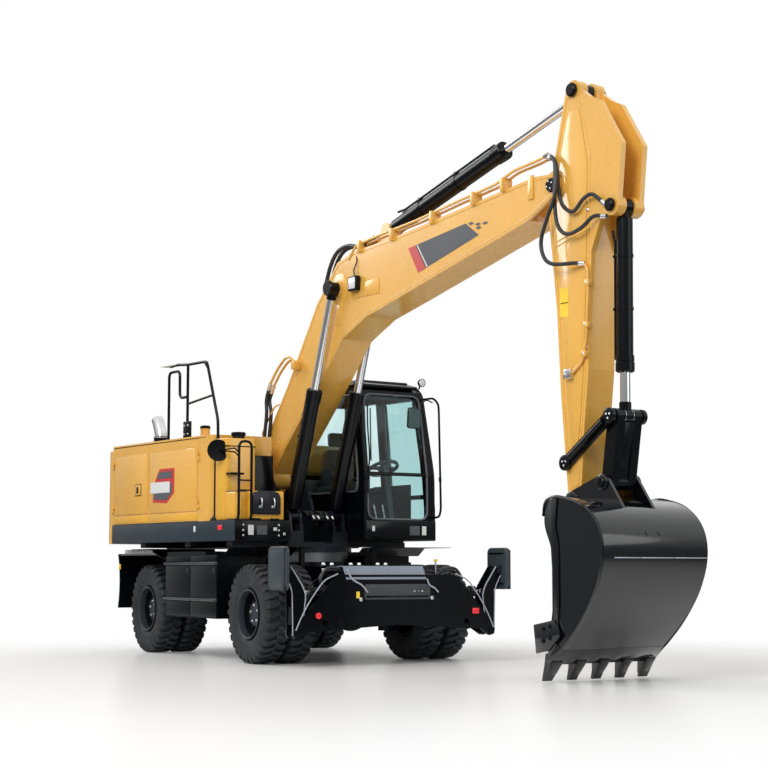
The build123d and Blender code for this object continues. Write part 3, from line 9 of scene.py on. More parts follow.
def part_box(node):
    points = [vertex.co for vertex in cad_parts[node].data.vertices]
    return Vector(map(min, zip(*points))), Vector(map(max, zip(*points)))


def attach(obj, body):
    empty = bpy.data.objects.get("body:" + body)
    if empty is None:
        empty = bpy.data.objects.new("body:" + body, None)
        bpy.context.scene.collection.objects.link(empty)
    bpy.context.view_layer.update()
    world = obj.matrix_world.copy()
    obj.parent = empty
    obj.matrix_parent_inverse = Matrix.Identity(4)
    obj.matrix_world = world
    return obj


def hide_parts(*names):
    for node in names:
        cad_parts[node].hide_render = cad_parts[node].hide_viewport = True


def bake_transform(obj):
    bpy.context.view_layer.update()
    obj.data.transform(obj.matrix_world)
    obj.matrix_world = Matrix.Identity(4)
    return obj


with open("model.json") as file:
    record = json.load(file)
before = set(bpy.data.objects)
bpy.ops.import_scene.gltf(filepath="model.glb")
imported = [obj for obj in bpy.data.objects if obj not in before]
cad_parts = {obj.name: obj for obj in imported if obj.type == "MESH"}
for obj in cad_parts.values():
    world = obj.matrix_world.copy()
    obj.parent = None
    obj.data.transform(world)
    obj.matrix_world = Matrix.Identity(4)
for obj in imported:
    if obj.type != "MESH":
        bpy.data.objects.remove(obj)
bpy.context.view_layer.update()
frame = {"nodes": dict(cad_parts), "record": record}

bl_info = {
    "name": "Wheeled Excavator Dressing",
    "version": (1, 0, 0),
    "blender": (4, 5, 0),
    "location": "View3D > Sidebar > Excavator",
    "description": "Paints and details a wheeled excavator around its mechanical frame",
    "category": "Object",
}

SWING = radians(5.3)
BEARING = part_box("swing_bearing")
SLEW = (BEARING[0] + BEARING[1]) / 2
LOWER = Matrix.Translation((SLEW.x, SLEW.y, 0.0))
UPPER = LOWER @ Matrix.Rotation(SWING, 4, "Z")


# Finishes: small node trees on Object coordinates

def input_of(node, *names):
    for name in names:
        if name in node.inputs:
            return node.inputs[name]
    raise KeyError(names[0])


class Finish:
    """A material in the making: its tree, its shader and the point that its patterns read."""

    def __init__(self, name, color, roughness=0.5, metallic=0.0, coat=0.0, coat_roughness=0.1, specular=0.5):
        self.material = bpy.data.materials.new(name)
        self.material.use_nodes = True
        self.tree = self.material.node_tree
        self.shader = self.tree.nodes["Principled BSDF"]
        self.shader.inputs["Base Color"].default_value = (*color, 1.0)
        self.shader.inputs["Roughness"].default_value = roughness
        self.shader.inputs["Metallic"].default_value = metallic
        self.shader.inputs["Coat Weight"].default_value = coat
        self.shader.inputs["Coat Roughness"].default_value = coat_roughness
        self.shader.inputs["Specular IOR Level"].default_value = specular
        self.color = color
        self.point = self.tree.nodes.new("ShaderNodeTexCoord").outputs["Object"]

    def node(self, kind, **inputs):
        made = self.tree.nodes.new(kind)
        for name, value in inputs.items():
            socket = made.inputs[name.replace("_", " ")]
            if isinstance(value, bpy.types.NodeSocket):
                self.tree.links.new(value, socket)
            else:
                socket.default_value = value
        return made

    def noise(self, scale, detail=3.0, roughness=0.5, stretch=None):
        point = self.point
        if stretch:
            mapped = self.node("ShaderNodeMapping", Vector=point, Scale=stretch)
            point = mapped.outputs["Vector"]
        return self.node("ShaderNodeTexNoise", Vector=point, Scale=scale, Detail=detail,
                         Roughness=roughness).outputs["Fac"]

    def spread(self, value, low, high, to_low=0.0, to_high=1.0):
        made = self.node("ShaderNodeMapRange", Value=value)
        for name, number in (("From Min", low), ("From Max", high), ("To Min", to_low), ("To Max", to_high)):
            made.inputs[name].default_value = number
        return made.outputs["Result"]

    def blend(self, factor, first, second, kind="MIX"):
        made = self.tree.nodes.new("ShaderNodeMix")
        made.data_type = "RGBA"
        made.blend_type = kind
        for socket, value in ((made.inputs[0], factor), (made.inputs[6], first), (made.inputs[7], second)):
            if isinstance(value, bpy.types.NodeSocket):
                self.tree.links.new(value, socket)
            else:
                socket.default_value = (*value, 1.0) if isinstance(value, tuple) and len(value) == 3 else value
        return made.outputs[2]

    def height(self):
        """The world height of a point, which is its object height here."""
        return self.node("ShaderNodeSeparateXYZ", Vector=self.point).outputs["Z"]

    def use(self, name, value):
        self.tree.links.new(value, self.shader.inputs[name])

    def bump(self, height, strength=0.2, distance=0.001):
        made = self.node("ShaderNodeBump", Height=height)
        made.inputs["Strength"].default_value = strength
        made.inputs["Distance"].default_value = distance
        self.use("Normal", made.outputs["Normal"])


def paint_finish(name, color, roughness=0.32, coat=0.35, dust=0.25, dust_top=1.6):
    """Sprayed enamel: orange peel, slow drift of its tone, and dust that thins out upwards."""
    made = Finish(name, color, roughness, coat=coat, coat_roughness=0.08, specular=0.5 if color[0] > 0.1 else 0.15)
    drift = made.spread(made.noise(1.3, 4.0), 0.3, 0.7)
    deep = tuple(c * 0.90 for c in color)
    toned = made.blend(drift, color, deep)
    low = made.spread(made.height(), 0.2, dust_top, dust, 0.0)
    speckle = made.spread(made.noise(9.0, 6.0, 0.65), 0.42, 0.68)
    cover = made.node("ShaderNodeMath")
    cover.operation = "MULTIPLY"
    made.tree.links.new(low, cover.inputs[0])
    made.tree.links.new(speckle, cover.inputs[1])
    dusty = made.blend(cover.outputs[0], toned, (0.23, 0.20, 0.165))
    made.use("Base Color", dusty)
    rough = made.spread(made.noise(22.0, 3.0), 0.3, 0.75, roughness * 0.85, roughness * 1.3)
    made.use("Roughness", rough)
    made.bump(made.noise(420.0, 2.0), 0.03, 0.0004)
    return made.material


def plain_finish(name, color, roughness, metallic=0.0, grain=60.0, depth=0.15, specular=0.5):
    """Rubber, moulded plastic or bare metal: a tone that drifts, fine grain and uneven gloss."""
    made = Finish(name, color, roughness, metallic, specular=specular)
    pale = tuple(min(1.0, c * 1.25 + 0.004) for c in color)
    made.use("Base Color", made.blend(made.spread(made.noise(4.0, 5.0, 0.6), 0.35, 0.7), color, pale))
    made.use("Roughness", made.spread(made.noise(grain / 3.0, 4.0), 0.3, 0.7, roughness * 0.85,
                                      min(1.0, roughness * 1.2)))
    made.bump(made.noise(grain, 3.0), depth, 0.0006)
    return made.material


def rubber_finish(name):
    """Tyre rubber: dark grey, with lighter dust in its grain."""
    made = Finish(name, (0.012, 0.0135, 0.016), 0.55, specular=0.35)
    worn = made.spread(made.noise(7.0, 6.0, 0.65), 0.35, 0.7)
    made.use("Base Color", made.blend(worn, (0.010, 0.0115, 0.014), (0.026, 0.028, 0.032)))
    made.use("Roughness", made.spread(made.noise(18.0, 4.0), 0.3, 0.7, 0.52, 0.72))
    made.bump(made.noise(260.0, 3.0), 0.25, 0.0006)
    return made.material


def fabric_finish(name):
    """Woven seat cloth."""
    made = Finish(name, (0.035, 0.038, 0.042), 0.85)
    weave = made.node("ShaderNodeTexWave", Vector=made.point, Scale=90.0, Distortion=1.5)
    made.use("Base Color", made.blend(weave.outputs["Fac"], (0.022, 0.024, 0.028), (0.060, 0.064, 0.070)))
    made.bump(weave.outputs["Fac"], 0.35, 0.0008)
    return made.material


def glass_finish(name, tint):
    """Tinted safety glass with faint wiping marks."""
    made = Finish(name, tint, 0.02)
    made.shader.inputs["Transmission Weight"].default_value = 1.0
    made.shader.inputs["IOR"].default_value = 1.35
    made.use("Roughness", made.spread(made.noise(3.0, 5.0, 0.6, (1.0, 1.0, 3.0)), 0.35, 0.8, 0.01, 0.06))
    return made.material


def chrome_finish(name):
    """Hard chrome: a mirror with the faintest lines along it."""
    made = Finish(name, (0.78, 0.79, 0.81), 0.10, 1.0)
    made.use("Roughness", made.spread(made.noise(40.0, 4.0, 0.6), 0.3, 0.7, 0.07, 0.16))
    made.bump(made.noise(500.0, 2.0), 0.03, 0.0002)
    return made.material


PAINTS = {
    "body_paint": ((0.80, 0.43, 0.075), 0.24, 0.60, 0.04),
    "tank_paint": ((0.80, 0.42, 0.040), 0.24, 0.60, 0.04),
    "black_paint": ((0.0022, 0.0028, 0.0040), 0.22, 0.12, 0.003),
    "cab_paint": ((0.0020, 0.0024, 0.0034), 0.18, 0.25, 0.002),
    "bucket_paint": ((0.0030, 0.0035, 0.0050), 0.10, 0.90, 0.003),
    "frame_grey": ((0.012, 0.016, 0.022), 0.34, 0.20, 0.02),
    "wheel_grey": ((0.006, 0.008, 0.011), 0.28, 0.30, 0.02),
    "hub_grey": ((0.028, 0.034, 0.042), 0.36, 0.15, 0.03),
    "cover_blue": ((0.165, 0.205, 0.260), 0.30, 0.40, 0.03),
    # painted highlight: a lit copy of cover_blue, laid as pale lines and strips along rounded edges
    "painted_edge_highlight": ((0.300, 0.340, 0.400), 0.30, 0.40, 0.05),
    "warning_yellow": ((0.900, 0.620, 0.030), 0.30, 0.40, 0.05),
    "plate_white": ((0.700, 0.710, 0.700), 0.40, 0.20, 0.05),
    "plate_grey": ((0.100, 0.105, 0.115), 0.40, 0.20, 0.05),
    "skirt_grey": ((0.026, 0.038, 0.050), 0.30, 0.30, 0.03),
    "pad_grey": ((0.040, 0.052, 0.058), 0.34, 0.25, 0.03),
    # the round steps are black; this lighter grey is painted highlight
    "step_grey_painted_highlight": ((0.020, 0.023, 0.027), 0.26, 0.40, 0.02),
    "seal_grey": ((0.110, 0.125, 0.135), 0.45, 0.10, 0.05),
    "mark_red": ((0.550, 0.030, 0.030), 0.35, 0.30, 0.03),
}
FINISHES = {}


def make_finishes():
    for name, (color, roughness, coat, dust) in PAINTS.items():
        FINISHES[name] = paint_finish(name, color, roughness, coat, dust)
    FINISHES["tyre_rubber"] = rubber_finish("tyre_rubber")
    FINISHES["hose_rubber"] = plain_finish("hose_rubber", (0.012, 0.013, 0.015), 0.45, grain=300.0)
    FINISHES["cab_plastic"] = plain_finish("cab_plastic", (0.030, 0.033, 0.038), 0.55, grain=400.0, depth=0.3)
    FINISHES["seat_fabric"] = fabric_finish("seat_fabric")
    FINISHES["rod_chrome"] = chrome_finish("rod_chrome")
    FINISHES["bearing_steel"] = plain_finish("bearing_steel", (0.16, 0.165, 0.17), 0.42, 1.0, 120.0)
    FINISHES["bolt_steel"] = plain_finish("bolt_steel", (0.62, 0.62, 0.63), 0.28, 1.0, 200.0)
    FINISHES["exhaust_steel"] = plain_finish("exhaust_steel", (0.60, 0.60, 0.62), 0.22, 1.0, 80.0)
    FINISHES["cab_glass"] = glass_finish("cab_glass", (0.80, 0.93, 0.93))
    FINISHES["door_glass"] = glass_finish("door_glass", (0.50, 0.72, 0.72))
    FINISHES["lamp_glass"] = plain_finish("lamp_glass", (0.75, 0.77, 0.80), 0.12, 0.3, 90.0)
    FINISHES["marker_red"] = plain_finish("marker_red", (0.70, 0.02, 0.03), 0.20, 0.0, 90.0)
    FINISHES["marker_amber"] = plain_finish("marker_amber", (0.90, 0.50, 0.02), 0.20, 0.0, 90.0)
    FINISHES["mirror_glass"] = plain_finish("mirror_glass", (0.16, 0.24, 0.24), 0.06, 1.0, 60.0, 0.02)


# Shapes: each comes back as a bmesh in millimetres, drawn from the slewing centre

def spot(axis, u, v, w):
    """The point at u, v in the plane across an axis, w along it."""
    return Vector({"x": (w, u, v), "y": (u, w, v), "z": (u, v, w)}[axis])


def soften(shape, bevel, segments=2, angle=0.45):
    """Round the sharp edges of a shape."""
    bmesh.ops.recalc_face_normals(shape, faces=shape.faces)
    if bevel:
        sharp = [edge for edge in shape.edges if edge.calc_face_angle(0.0) > angle]
        bmesh.ops.bevel(shape, geom=sharp, offset=bevel, segments=segments, profile=0.5, affect="EDGES", material=-1)
    return shape


def slab(outline, low, high, axis="y", bevel=2.0, segments=2):
    """A plate with that outline, from low to high along an axis, its edges rounded."""
    shape = bmesh.new()
    base = shape.faces.new([shape.verts.new(spot(axis, u, v, low)) for u, v in outline])
    made = bmesh.ops.extrude_face_region(shape, geom=[base])
    for vert in made["geom"]:
        if isinstance(vert, bmesh.types.BMVert):
            vert.co += spot(axis, 0.0, 0.0, high - low)
    return soften(shape, bevel, segments)


def block(low, high, bevel=3.0, segments=2):
    """A box between two corners, its edges rounded."""
    outline = ((low[0], low[2]), (high[0], low[2]), (high[0], high[2]), (low[0], high[2]))
    return slab(outline, low[1], high[1], "y", bevel, segments)


def oblong(u0, v0, u1, v1):
    """The outline of an upright rectangle between two corners."""
    return [(u0, v0), (u1, v0), (u1, v1), (u0, v1)]


def side_slab(outline, first, second, bevel=2.0, segments=2):
    """A plate in a side plane between two depths, given in either order."""
    return slab(outline, min(first, second), max(first, second), "y", bevel, segments)


def skin(rings, closed=False):
    """A surface through rings of points, capped at its ends or closed on itself."""
    shape = bmesh.new()
    made = [[shape.verts.new(point) for point in ring] for ring in rings]
    count = len(made[0])
    for first, second in zip(made, made[1:] + (made[:1] if closed else [])):
        for k in range(count):
            n = (k + 1) % count
            shape.faces.new((first[k], first[n], second[n], second[k]))
    if not closed:
        shape.faces.new(made[0][::-1])
        shape.faces.new(made[-1])
    return soften(shape, 0.0)


def circle(middle, side, other, radius, steps):
    """The points of a circle in the plane of two directions."""
    turns = [2 * pi * k / steps for k in range(steps)]
    return [middle + (side * cos(turn) + other * sin(turn)) * radius for turn in turns]


def lathe(profile, origin, direction, steps=32, closed=False):
    """A turned shape: profile is (along, radius) pairs from the origin along a direction."""
    axis = Vector(direction).normalized()
    side = axis.orthogonal().normalized()
    other = axis.cross(side)
    return skin([circle(Vector(origin) + axis * along, side, other, radius, steps) for along, radius in profile],
                closed)


def round_bar(start, end, radius, bevel=3.0, steps=28):
    """A round bar between two points, its ends chamfered."""
    start, end = Vector(start), Vector(end)
    length = (end - start).length
    return lathe(((0.0, radius - bevel), (bevel, radius), (length - bevel, radius), (length, radius - bevel)),
                 start, end - start, steps)


def bolt_head(place, out, radius, steps=6):
    """A hexagon head on its washer."""
    return lathe(((0.0, radius * 1.45), (radius * 0.22, radius * 1.45), (radius * 0.24, radius),
                  (radius * 0.9, radius),
                  (radius * 1.05, radius * 0.8)), place, out, steps)


def smooth_path(points, curved, bend, samples=6):
    """The line of a tube: a smooth curve through points, or straight runs with rounded corners."""
    points = [Vector(point) for point in points]
    line = []
    if curved:
        spread = [points[0] * 2 - points[1]] + points + [points[-1] * 2 - points[-2]]
        for a, b, c, d in zip(spread, spread[1:], spread[2:], spread[3:]):
            for k in range(samples):
                t = k / samples
                line.append(0.5 * (2 * b + (c - a) * t + (2 * a - 5 * b + 4 * c - d) * t * t
                                   + (3 * b - a - 3 * c + d) * t * t * t))
        return line + [points[-1]]
    line.append(points[0])
    for a, b, c in zip(points, points[1:], points[2:]):
        reach = min(bend, (b - a).length * 0.48, (c - b).length * 0.48)
        start, end = b + (a - b).normalized() * reach, b + (c - b).normalized() * reach
        for k in range(samples):
            t = k / (samples - 1)
            line.append(start.lerp(b, t).lerp(b.lerp(end, t), t))
    return line + [points[-1]]


def tube(points, radius, curved=False, bend=60.0, steps=12):
    """A round tube along a path."""
    line = smooth_path(points, curved, bend)
    side = (line[1] - line[0]).normalized().orthogonal().normalized()
    rings = []
    for k, place in enumerate(line):
        ahead = (line[min(k + 1, len(line) - 1)] - line[max(k - 1, 0)]).normalized()
        side = (side - ahead * side.dot(ahead)).normalized()
        rings.append(circle(place, side, ahead.cross(side), radius, steps))
    return skin(rings)


class Piece:
    """One piece in the making; it rides on a body, if one is named, and may stand for CAD nodes."""

    def __init__(self, name, body, turned=True):
        self.name = name
        self.body = body
        self.frame = (UPPER if turned else LOWER) @ Matrix.Scale(0.001, 4)
        self.mesh = bmesh.new()
        self.finishes = []

    def take(self, shape, finish, crease=35.0):
        """Add a shape with its finish; faces that meet at less than the crease angle shade smoothly."""
        if finish not in self.finishes:
            self.finishes.append(finish)
        index = self.finishes.index(finish)
        for face in shape.faces:
            face.material_index = index
            face.smooth = True
        for edge in shape.edges:
            edge.smooth = edge.calc_face_angle(0.0) < radians(crease)
        held = bpy.data.meshes.new("held")
        shape.to_mesh(held)
        shape.free()
        self.mesh.from_mesh(held)
        bpy.data.meshes.remove(held)

    def finish(self, slot, replaces=()):
        """Turn the drawing into an object in the row's frame."""
        bmesh.ops.transform(self.mesh, matrix=self.frame, verts=self.mesh.verts)
        mesh = bpy.data.meshes.new(self.name)
        self.mesh.to_mesh(mesh)
        self.mesh.free()
        for name in self.finishes:
            mesh.materials.append(FINISHES[name])
        made = bpy.data.objects.new(self.name, mesh)
        bpy.context.scene.collection.objects.link(made)
        if self.body:
            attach(made, self.body)
        if replaces:
            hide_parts(*replaces)
        return made


class StageSettings(bpy.types.PropertyGroup):
    lens: bpy.props.FloatProperty(name="Lens", description="Focal length on a 36 mm wide image", default=80.90,
                                  unit="CAMERA")
    eye: bpy.props.FloatVectorProperty(name="Camera", description="Camera place from the slewing centre", size=3,
                                       default=(18.323, -9.145, 1.015), subtype="TRANSLATION", unit="LENGTH")
    heading: bpy.props.FloatProperty(name="Heading", description="Camera heading from +X", default=radians(150.579),
                                     subtype="ANGLE")
    pitch: bpy.props.FloatProperty(name="Pitch", description="Camera pitch upwards", default=radians(6.0997),
                                   subtype="ANGLE")
    backdrop: bpy.props.FloatVectorProperty(name="Backdrop", description="Backdrop seen behind the machine", size=3,
                                            default=(1.0, 1.0, 1.0), subtype="COLOR", min=0.0, max=1.0)


class EXCAVATOR_OT_stage(bpy.types.Operator):
    """Lay the floor and set the lamps and the camera"""
    bl_idname = "excavator.stage"
    bl_label = "Stage"

    def execute(self, context):
        settings = context.scene.excavator_stage
        scene = context.scene
        data = bpy.data.cameras.new("photo_camera")
        data.sensor_width = 36.0
        data.sensor_fit = "HORIZONTAL"
        data.lens = settings.lens
        data.clip_end = 200.0
        camera = bpy.data.objects.new("photo_camera", data)
        scene.collection.objects.link(camera)
        ahead = Vector((cos(settings.pitch) * cos(settings.heading), cos(settings.pitch) * sin(settings.heading),
                        sin(settings.pitch)))
        camera.rotation_euler = ahead.to_track_quat("-Z", "Y").to_euler()
        camera.location = Vector(settings.eye) + Vector((SLEW.x, SLEW.y, 0.0))
        scene.camera = camera

        ground = bmesh.new()
        bmesh.ops.create_grid(ground, x_segments=1, y_segments=1, size=60.0)
        mesh = bpy.data.meshes.new("floor")
        ground.to_mesh(mesh)
        ground.free()
        floor = bpy.data.objects.new("floor", mesh)
        scene.collection.objects.link(floor)
        mesh.materials.append(self.floor_material())

        world = bpy.data.worlds.new("studio")
        scene.world = world
        world.use_nodes = True
        tree = world.node_tree
        background = tree.nodes["Background"]
        background.inputs["Color"].default_value = (1.0, 1.0, 1.0, 1.0)
        background.inputs["Strength"].default_value = 0.62
        seen = tree.nodes.new("ShaderNodeBackground")
        seen.inputs["Color"].default_value = (*settings.backdrop, 1.0)
        seen.inputs["Strength"].default_value = 1.0
        rays = tree.nodes.new("ShaderNodeLightPath")
        either = tree.nodes.new("ShaderNodeMath")
        either.operation = "MAXIMUM"
        tree.links.new(rays.outputs["Is Camera Ray"], either.inputs[0])
        tree.links.new(rays.outputs["Is Transmission Ray"], either.inputs[1])
        mix = tree.nodes.new("ShaderNodeMixShader")
        tree.links.new(either.outputs[0], mix.inputs["Fac"])
        tree.links.new(background.outputs[0], mix.inputs[1])
        where = tree.nodes.new("ShaderNodeTexCoord")
        split = tree.nodes.new("ShaderNodeSeparateXYZ")
        tree.links.new(where.outputs["Generated"], split.inputs[0])
        rise = tree.nodes.new("ShaderNodeMapRange")
        rise.interpolation_type = "SMOOTHSTEP"
        for name, number in (("From Min", -0.05), ("From Max", 0.55), ("To Min", 0.22), ("To Max", 1.05)):
            rise.inputs[name].default_value = number
        tree.links.new(split.outputs["Z"], rise.inputs["Value"])
        tree.links.new(rise.outputs["Result"], background.inputs["Strength"])
        tree.links.new(seen.outputs[0], mix.inputs[2])
        tree.links.new(mix.outputs[0], tree.nodes["World Output"].inputs["Surface"])

        for name, place, aim, size, power in (
                ("key", (9.0, -12.0, 11.0), (0.5, 0.0, 2.0), 7.0, 1300.0),
                ("fill", (14.0, 7.0, 6.0), (1.0, 0.0, 2.0), 8.0, 260.0),
                ("rim", (-9.0, -6.0, 9.0), (0.0, 0.0, 2.0), 6.0, 420.0)):
            lamp = bpy.data.lights.new(name, "AREA")
            lamp.shape = "DISK"
            lamp.size = size
            lamp.energy = power
            light = bpy.data.objects.new(name, lamp)
            scene.collection.objects.link(light)
            light.location = place
            light.rotation_euler = (Vector(aim) - Vector(place)).to_track_quat("-Z", "Y").to_euler()
        scene.view_settings.view_transform = "Standard"
        return {"FINISHED"}

    @staticmethod
    def floor_material():
        """A pale floor that fades into the white round it."""
        made = Finish("floor", (0.80, 0.80, 0.81), 0.22, specular=0.35)
        tree = made.tree
        made.use("Base Color", made.blend(made.spread(made.noise(0.6, 2.0), 0.3, 0.7), (0.90, 0.895, 0.89),
                                          (0.92, 0.915, 0.91)))
        flat = made.node("ShaderNodeMapping", Vector=made.point, Scale=(1.0, 1.0, 0.0))
        flat.inputs["Location"].default_value = (-1.5, 0.5, 0.0)
        away = tree.nodes.new("ShaderNodeVectorMath")
        away.operation = "LENGTH"
        tree.links.new(flat.outputs["Vector"], away.inputs[0])
        fade = made.node("ShaderNodeMapRange", Value=away.outputs["Value"])
        fade.interpolation_type = "SMOOTHSTEP"
        fade.inputs["From Min"].default_value = 3.2
        fade.inputs["From Max"].default_value = 9.5
        clear = tree.nodes.new("ShaderNodeBsdfTransparent")
        mix = tree.nodes.new("ShaderNodeMixShader")
        tree.links.new(fade.outputs["Result"], mix.inputs["Fac"])
        tree.links.new(made.shader.outputs[0], mix.inputs[1])
        tree.links.new(clear.outputs[0], mix.inputs[2])
        tree.links.new(mix.outputs[0], tree.nodes["Material Output"].inputs["Surface"])
        return made.material


NODE_FINISHES = {"bucket": "bucket_paint", "door_glass": "door_glass"}


class EXCAVATOR_OT_paint(bpy.types.Operator):
    """Give every part of the frame its finish"""
    bl_idname = "excavator.paint"
    bl_label = "Paint the frame"

    def execute(self, context):
        make_finishes()
        slots = {entry["node"]: entry["material_slot"] for entry in frame["record"]["subparts"]}
        for name, node in frame["nodes"].items():
            finish = NODE_FINISHES.get(name, slots[name])
            if not node.material_slots:
                node.data.materials.append(FINISHES[finish])
            for place in node.material_slots:
                place.material = FINISHES[finish]
        return {"FINISHED"}


FRONT_AXLE_X = 1350.0
REAR_AXLE_X = -1550.0
TYRE_RADIUS = 530.0
OUTER_TYRE_Y = 1120.0
INNER_TYRE_Y = 798.0
TYRE_WALL = ((-96, 262), (-112, 274), (-124, 296), (-127, 306), (-131, 310), (-137, 350), (-139, 400), (-140, 430),
             (-139, 452), (-133, 476), (-119, 496), (-98, 503), (-40, 505))


class EXCAVATOR_OT_tyres(bpy.types.Operator):
    """Build the tyres with their tread and the rims' details"""
    bl_idname = "excavator.tyres"
    bl_label = "Tyres and wheels"
    lugs: bpy.props.IntProperty(name="Lugs", description="Lugs in each half of the tread", default=32, min=8)

    def lug(self, x, y, half, turn):
        """One lug, from the tread's middle over the shoulder."""
        wide = pi * TYRE_RADIUS / self.lugs * 0.56
        rings = []
        for across, base, top, lean in ((-6, 498, 529, 26), (34, 498, 529.5, 12), (66, 498, 529.5, -6),
                                        (112, 494, 528, -10),
                                        (131, 474, 516, -12), (140.5, 440, 486, -12), (141, 430, 446, -12)):
            ring = []
            for reach, radius in ((-1.0, base), (-0.84, top), (0.84, top), (1.0, base)):
                angle = turn + (lean + reach * wide) / TYRE_RADIUS
                ring.append((x + radius * cos(angle), y + half * min(across, 139.8),
                             TYRE_RADIUS + radius * sin(angle)))
            rings.append(ring)
        return skin(rings)

    def execute(self, context):
        for end, x in (("front", FRONT_AXLE_X), ("rear", REAR_AXLE_X)):
            for name, side in (("left", 1), ("right", -1)):
                piece = Piece("tread_%s_%s" % (end, name), "wheel_%s_%s" % (end, name), False)
                for middle in (OUTER_TYRE_Y, INNER_TYRE_Y):
                    y = side * middle
                    wall = TYRE_WALL + tuple((-across, radius) for across, radius in reversed(TYRE_WALL))
                    piece.take(lathe(wall, (x, y, TYRE_RADIUS), (0, 1, 0), 96, closed=True), "tyre_rubber", 50.0)
                    for ring in (352, 398):
                        band = ((138.0, ring - 5), (139.6, ring - 2), (139.6, ring + 2), (138.0, ring + 5))
                        for face in (1, -1):
                            piece.take(lathe([(face * across, radius) for across, radius in band],
                                             (x, y, TYRE_RADIUS),
                                             (0, 1, 0), 72, closed=True), "tyre_rubber")
                    for half in (1, -1):
                        for n in range(self.lugs):
                            turn = 2 * pi * (n + (0.5 if half > 0 else 0.0)) / self.lugs
                            piece.take(self.lug(x, y, half, turn), "tyre_rubber", 30.0)
                piece.finish("tyre_rubber", ("tyres_%s_%s" % (end, name),))
                wheel = Piece("wheel_details_%s_%s" % (end, name), "wheel_%s_%s" % (end, name), False)
                face_y = side * (OUTER_TYRE_Y + 123)
                out = (0, side, 0)
                wheel.take(lathe(((0, 263), (8, 268), (13, 266), (15, 258), (10, 250), (0, 247), (-16, 243),
                                  (-60, 240),
                                  (-60, 250), (-6, 256)), (x, face_y, TYRE_RADIUS), out, 72, closed=True), "hub_grey")
                hub_y = side * 1165.0
                wheel.take(lathe(((0, 128), (6, 126), (9, 118), (9, 60), (15, 54), (16, 40)), (x, hub_y, TYRE_RADIUS),
                                 out, 48),
                           "hub_grey")
                for n in range(5):
                    turn = 2 * pi * n / 5 + 0.4
                    at = (x + 92 * cos(turn), hub_y + side * 8, TYRE_RADIUS + 92 * sin(turn))
                    wheel.take(bolt_head(at, out, 12), "bolt_steel")
                for n in range(10):
                    turn = 2 * pi * n / 10
                    at = (x + 148 * cos(turn), hub_y - side * 1, TYRE_RADIUS + 148 * sin(turn))
                    wheel.take(bolt_head(at, out, 10), "wheel_grey")
                wheel.finish("wheel_grey")
        return {"FINISHED"}


# Working gear: planes, pins (x and z in a side plane) and outlines, in millimetres
BOOM_Y = -100.0
BOOM_SIDE = 200.0
ARM_SIDE = 160.0
BOOM_RAM_Y = 290.0
FOOT_PIN = (-150, 2080)
BOOM_RAM_PIN = (1380, 4130)
TIP_PIN = (5060, 4640)
ARM_RAM_PIN = (5330, 5510)
BUCKET_RAM_PIN = (5840, 4320)
IDLER_PIN = (5200, 1990)
LINK_PIN = (5810, 2390)
EAR_PIN = (5710, 1790)
BUCKET_PIN = (5290, 1640)
RAMS = (
    ("boom_barrels", "boom_rods", (530, 1600), BOOM_RAM_PIN, (-BOOM_RAM_Y, BOOM_RAM_Y), 80, 1500),
    ("arm_barrel", "arm_rod", (2110, 4700), ARM_RAM_PIN, (0.0,), 86, 2060),
    ("bucket_barrel", "bucket_rod", BUCKET_RAM_PIN, LINK_PIN, (0.0,), 76, 1525),
)
BOOM_LINE = ((-80, 2090), (212, 2410), (995, 3144), (1440, 3575), (1900, 3775), (2549, 3911), (4669, 4372),
             (5090, 4560),
             (5095, 4735), (4804, 4750), (2550, 4546), (1650, 4497), (1345, 4425), (915, 4000), (290, 3125),
             (-100, 2645))
ARM_LINE = ((5235, 5450), (5085, 4925), (4985, 4373), (5090, 3444), (5136, 2611), (5225, 1760), (5350, 1760),
            (5400, 2282),
            (5470, 2842), (5520, 3646), (5570, 4876), (5400, 5480))


def pin_at(pin, y):
    """The place of a pin's axis at y."""
    return pin[0], y, pin[1]


def drawn_back(outline, reach):
    """The outline with each corner moved inwards by about that reach."""
    count = len(outline)
    turned = sum(outline[k][0] * outline[(k + 1) % count][1] - outline[(k + 1) % count][0] * outline[k][1]
                 for k in range(count))
    way = 1.0 if turned > 0 else -1.0
    made = []
    for k in range(count):
        a, b, c = (Vector(outline[(k + n) % count]) for n in (-1, 0, 1))
        first, second = (b - a).normalized(), (c - b).normalized()
        inward = (Vector((-first.y, first.x)) + Vector((-second.y, second.x))) * way
        inward = inward / max(0.6, inward.length ** 2 / 2.0)
        made.append(tuple(b + inward * reach))
    return made


def bead(piece, outline, y, radius, finish, closed=True):
    """A weld bead or raised edge along an outline in a side plane."""
    points = [(x, y, z) for x, z in outline]
    if closed:
        first, last = Vector(points[0]), Vector(points[-1])
        middle = tuple((first + last) / 2)
        points = [middle] + points + [middle]
    piece.take(tube(points, radius, bend=50.0, steps=6), finish)


def in_panel(corners, u, v):
    """A point in a four-cornered panel: u along its length, v across it."""
    a, b, c, d = (Vector(corner) for corner in corners)
    return tuple((a.lerp(d, u)).lerp(b.lerp(c, u), v))


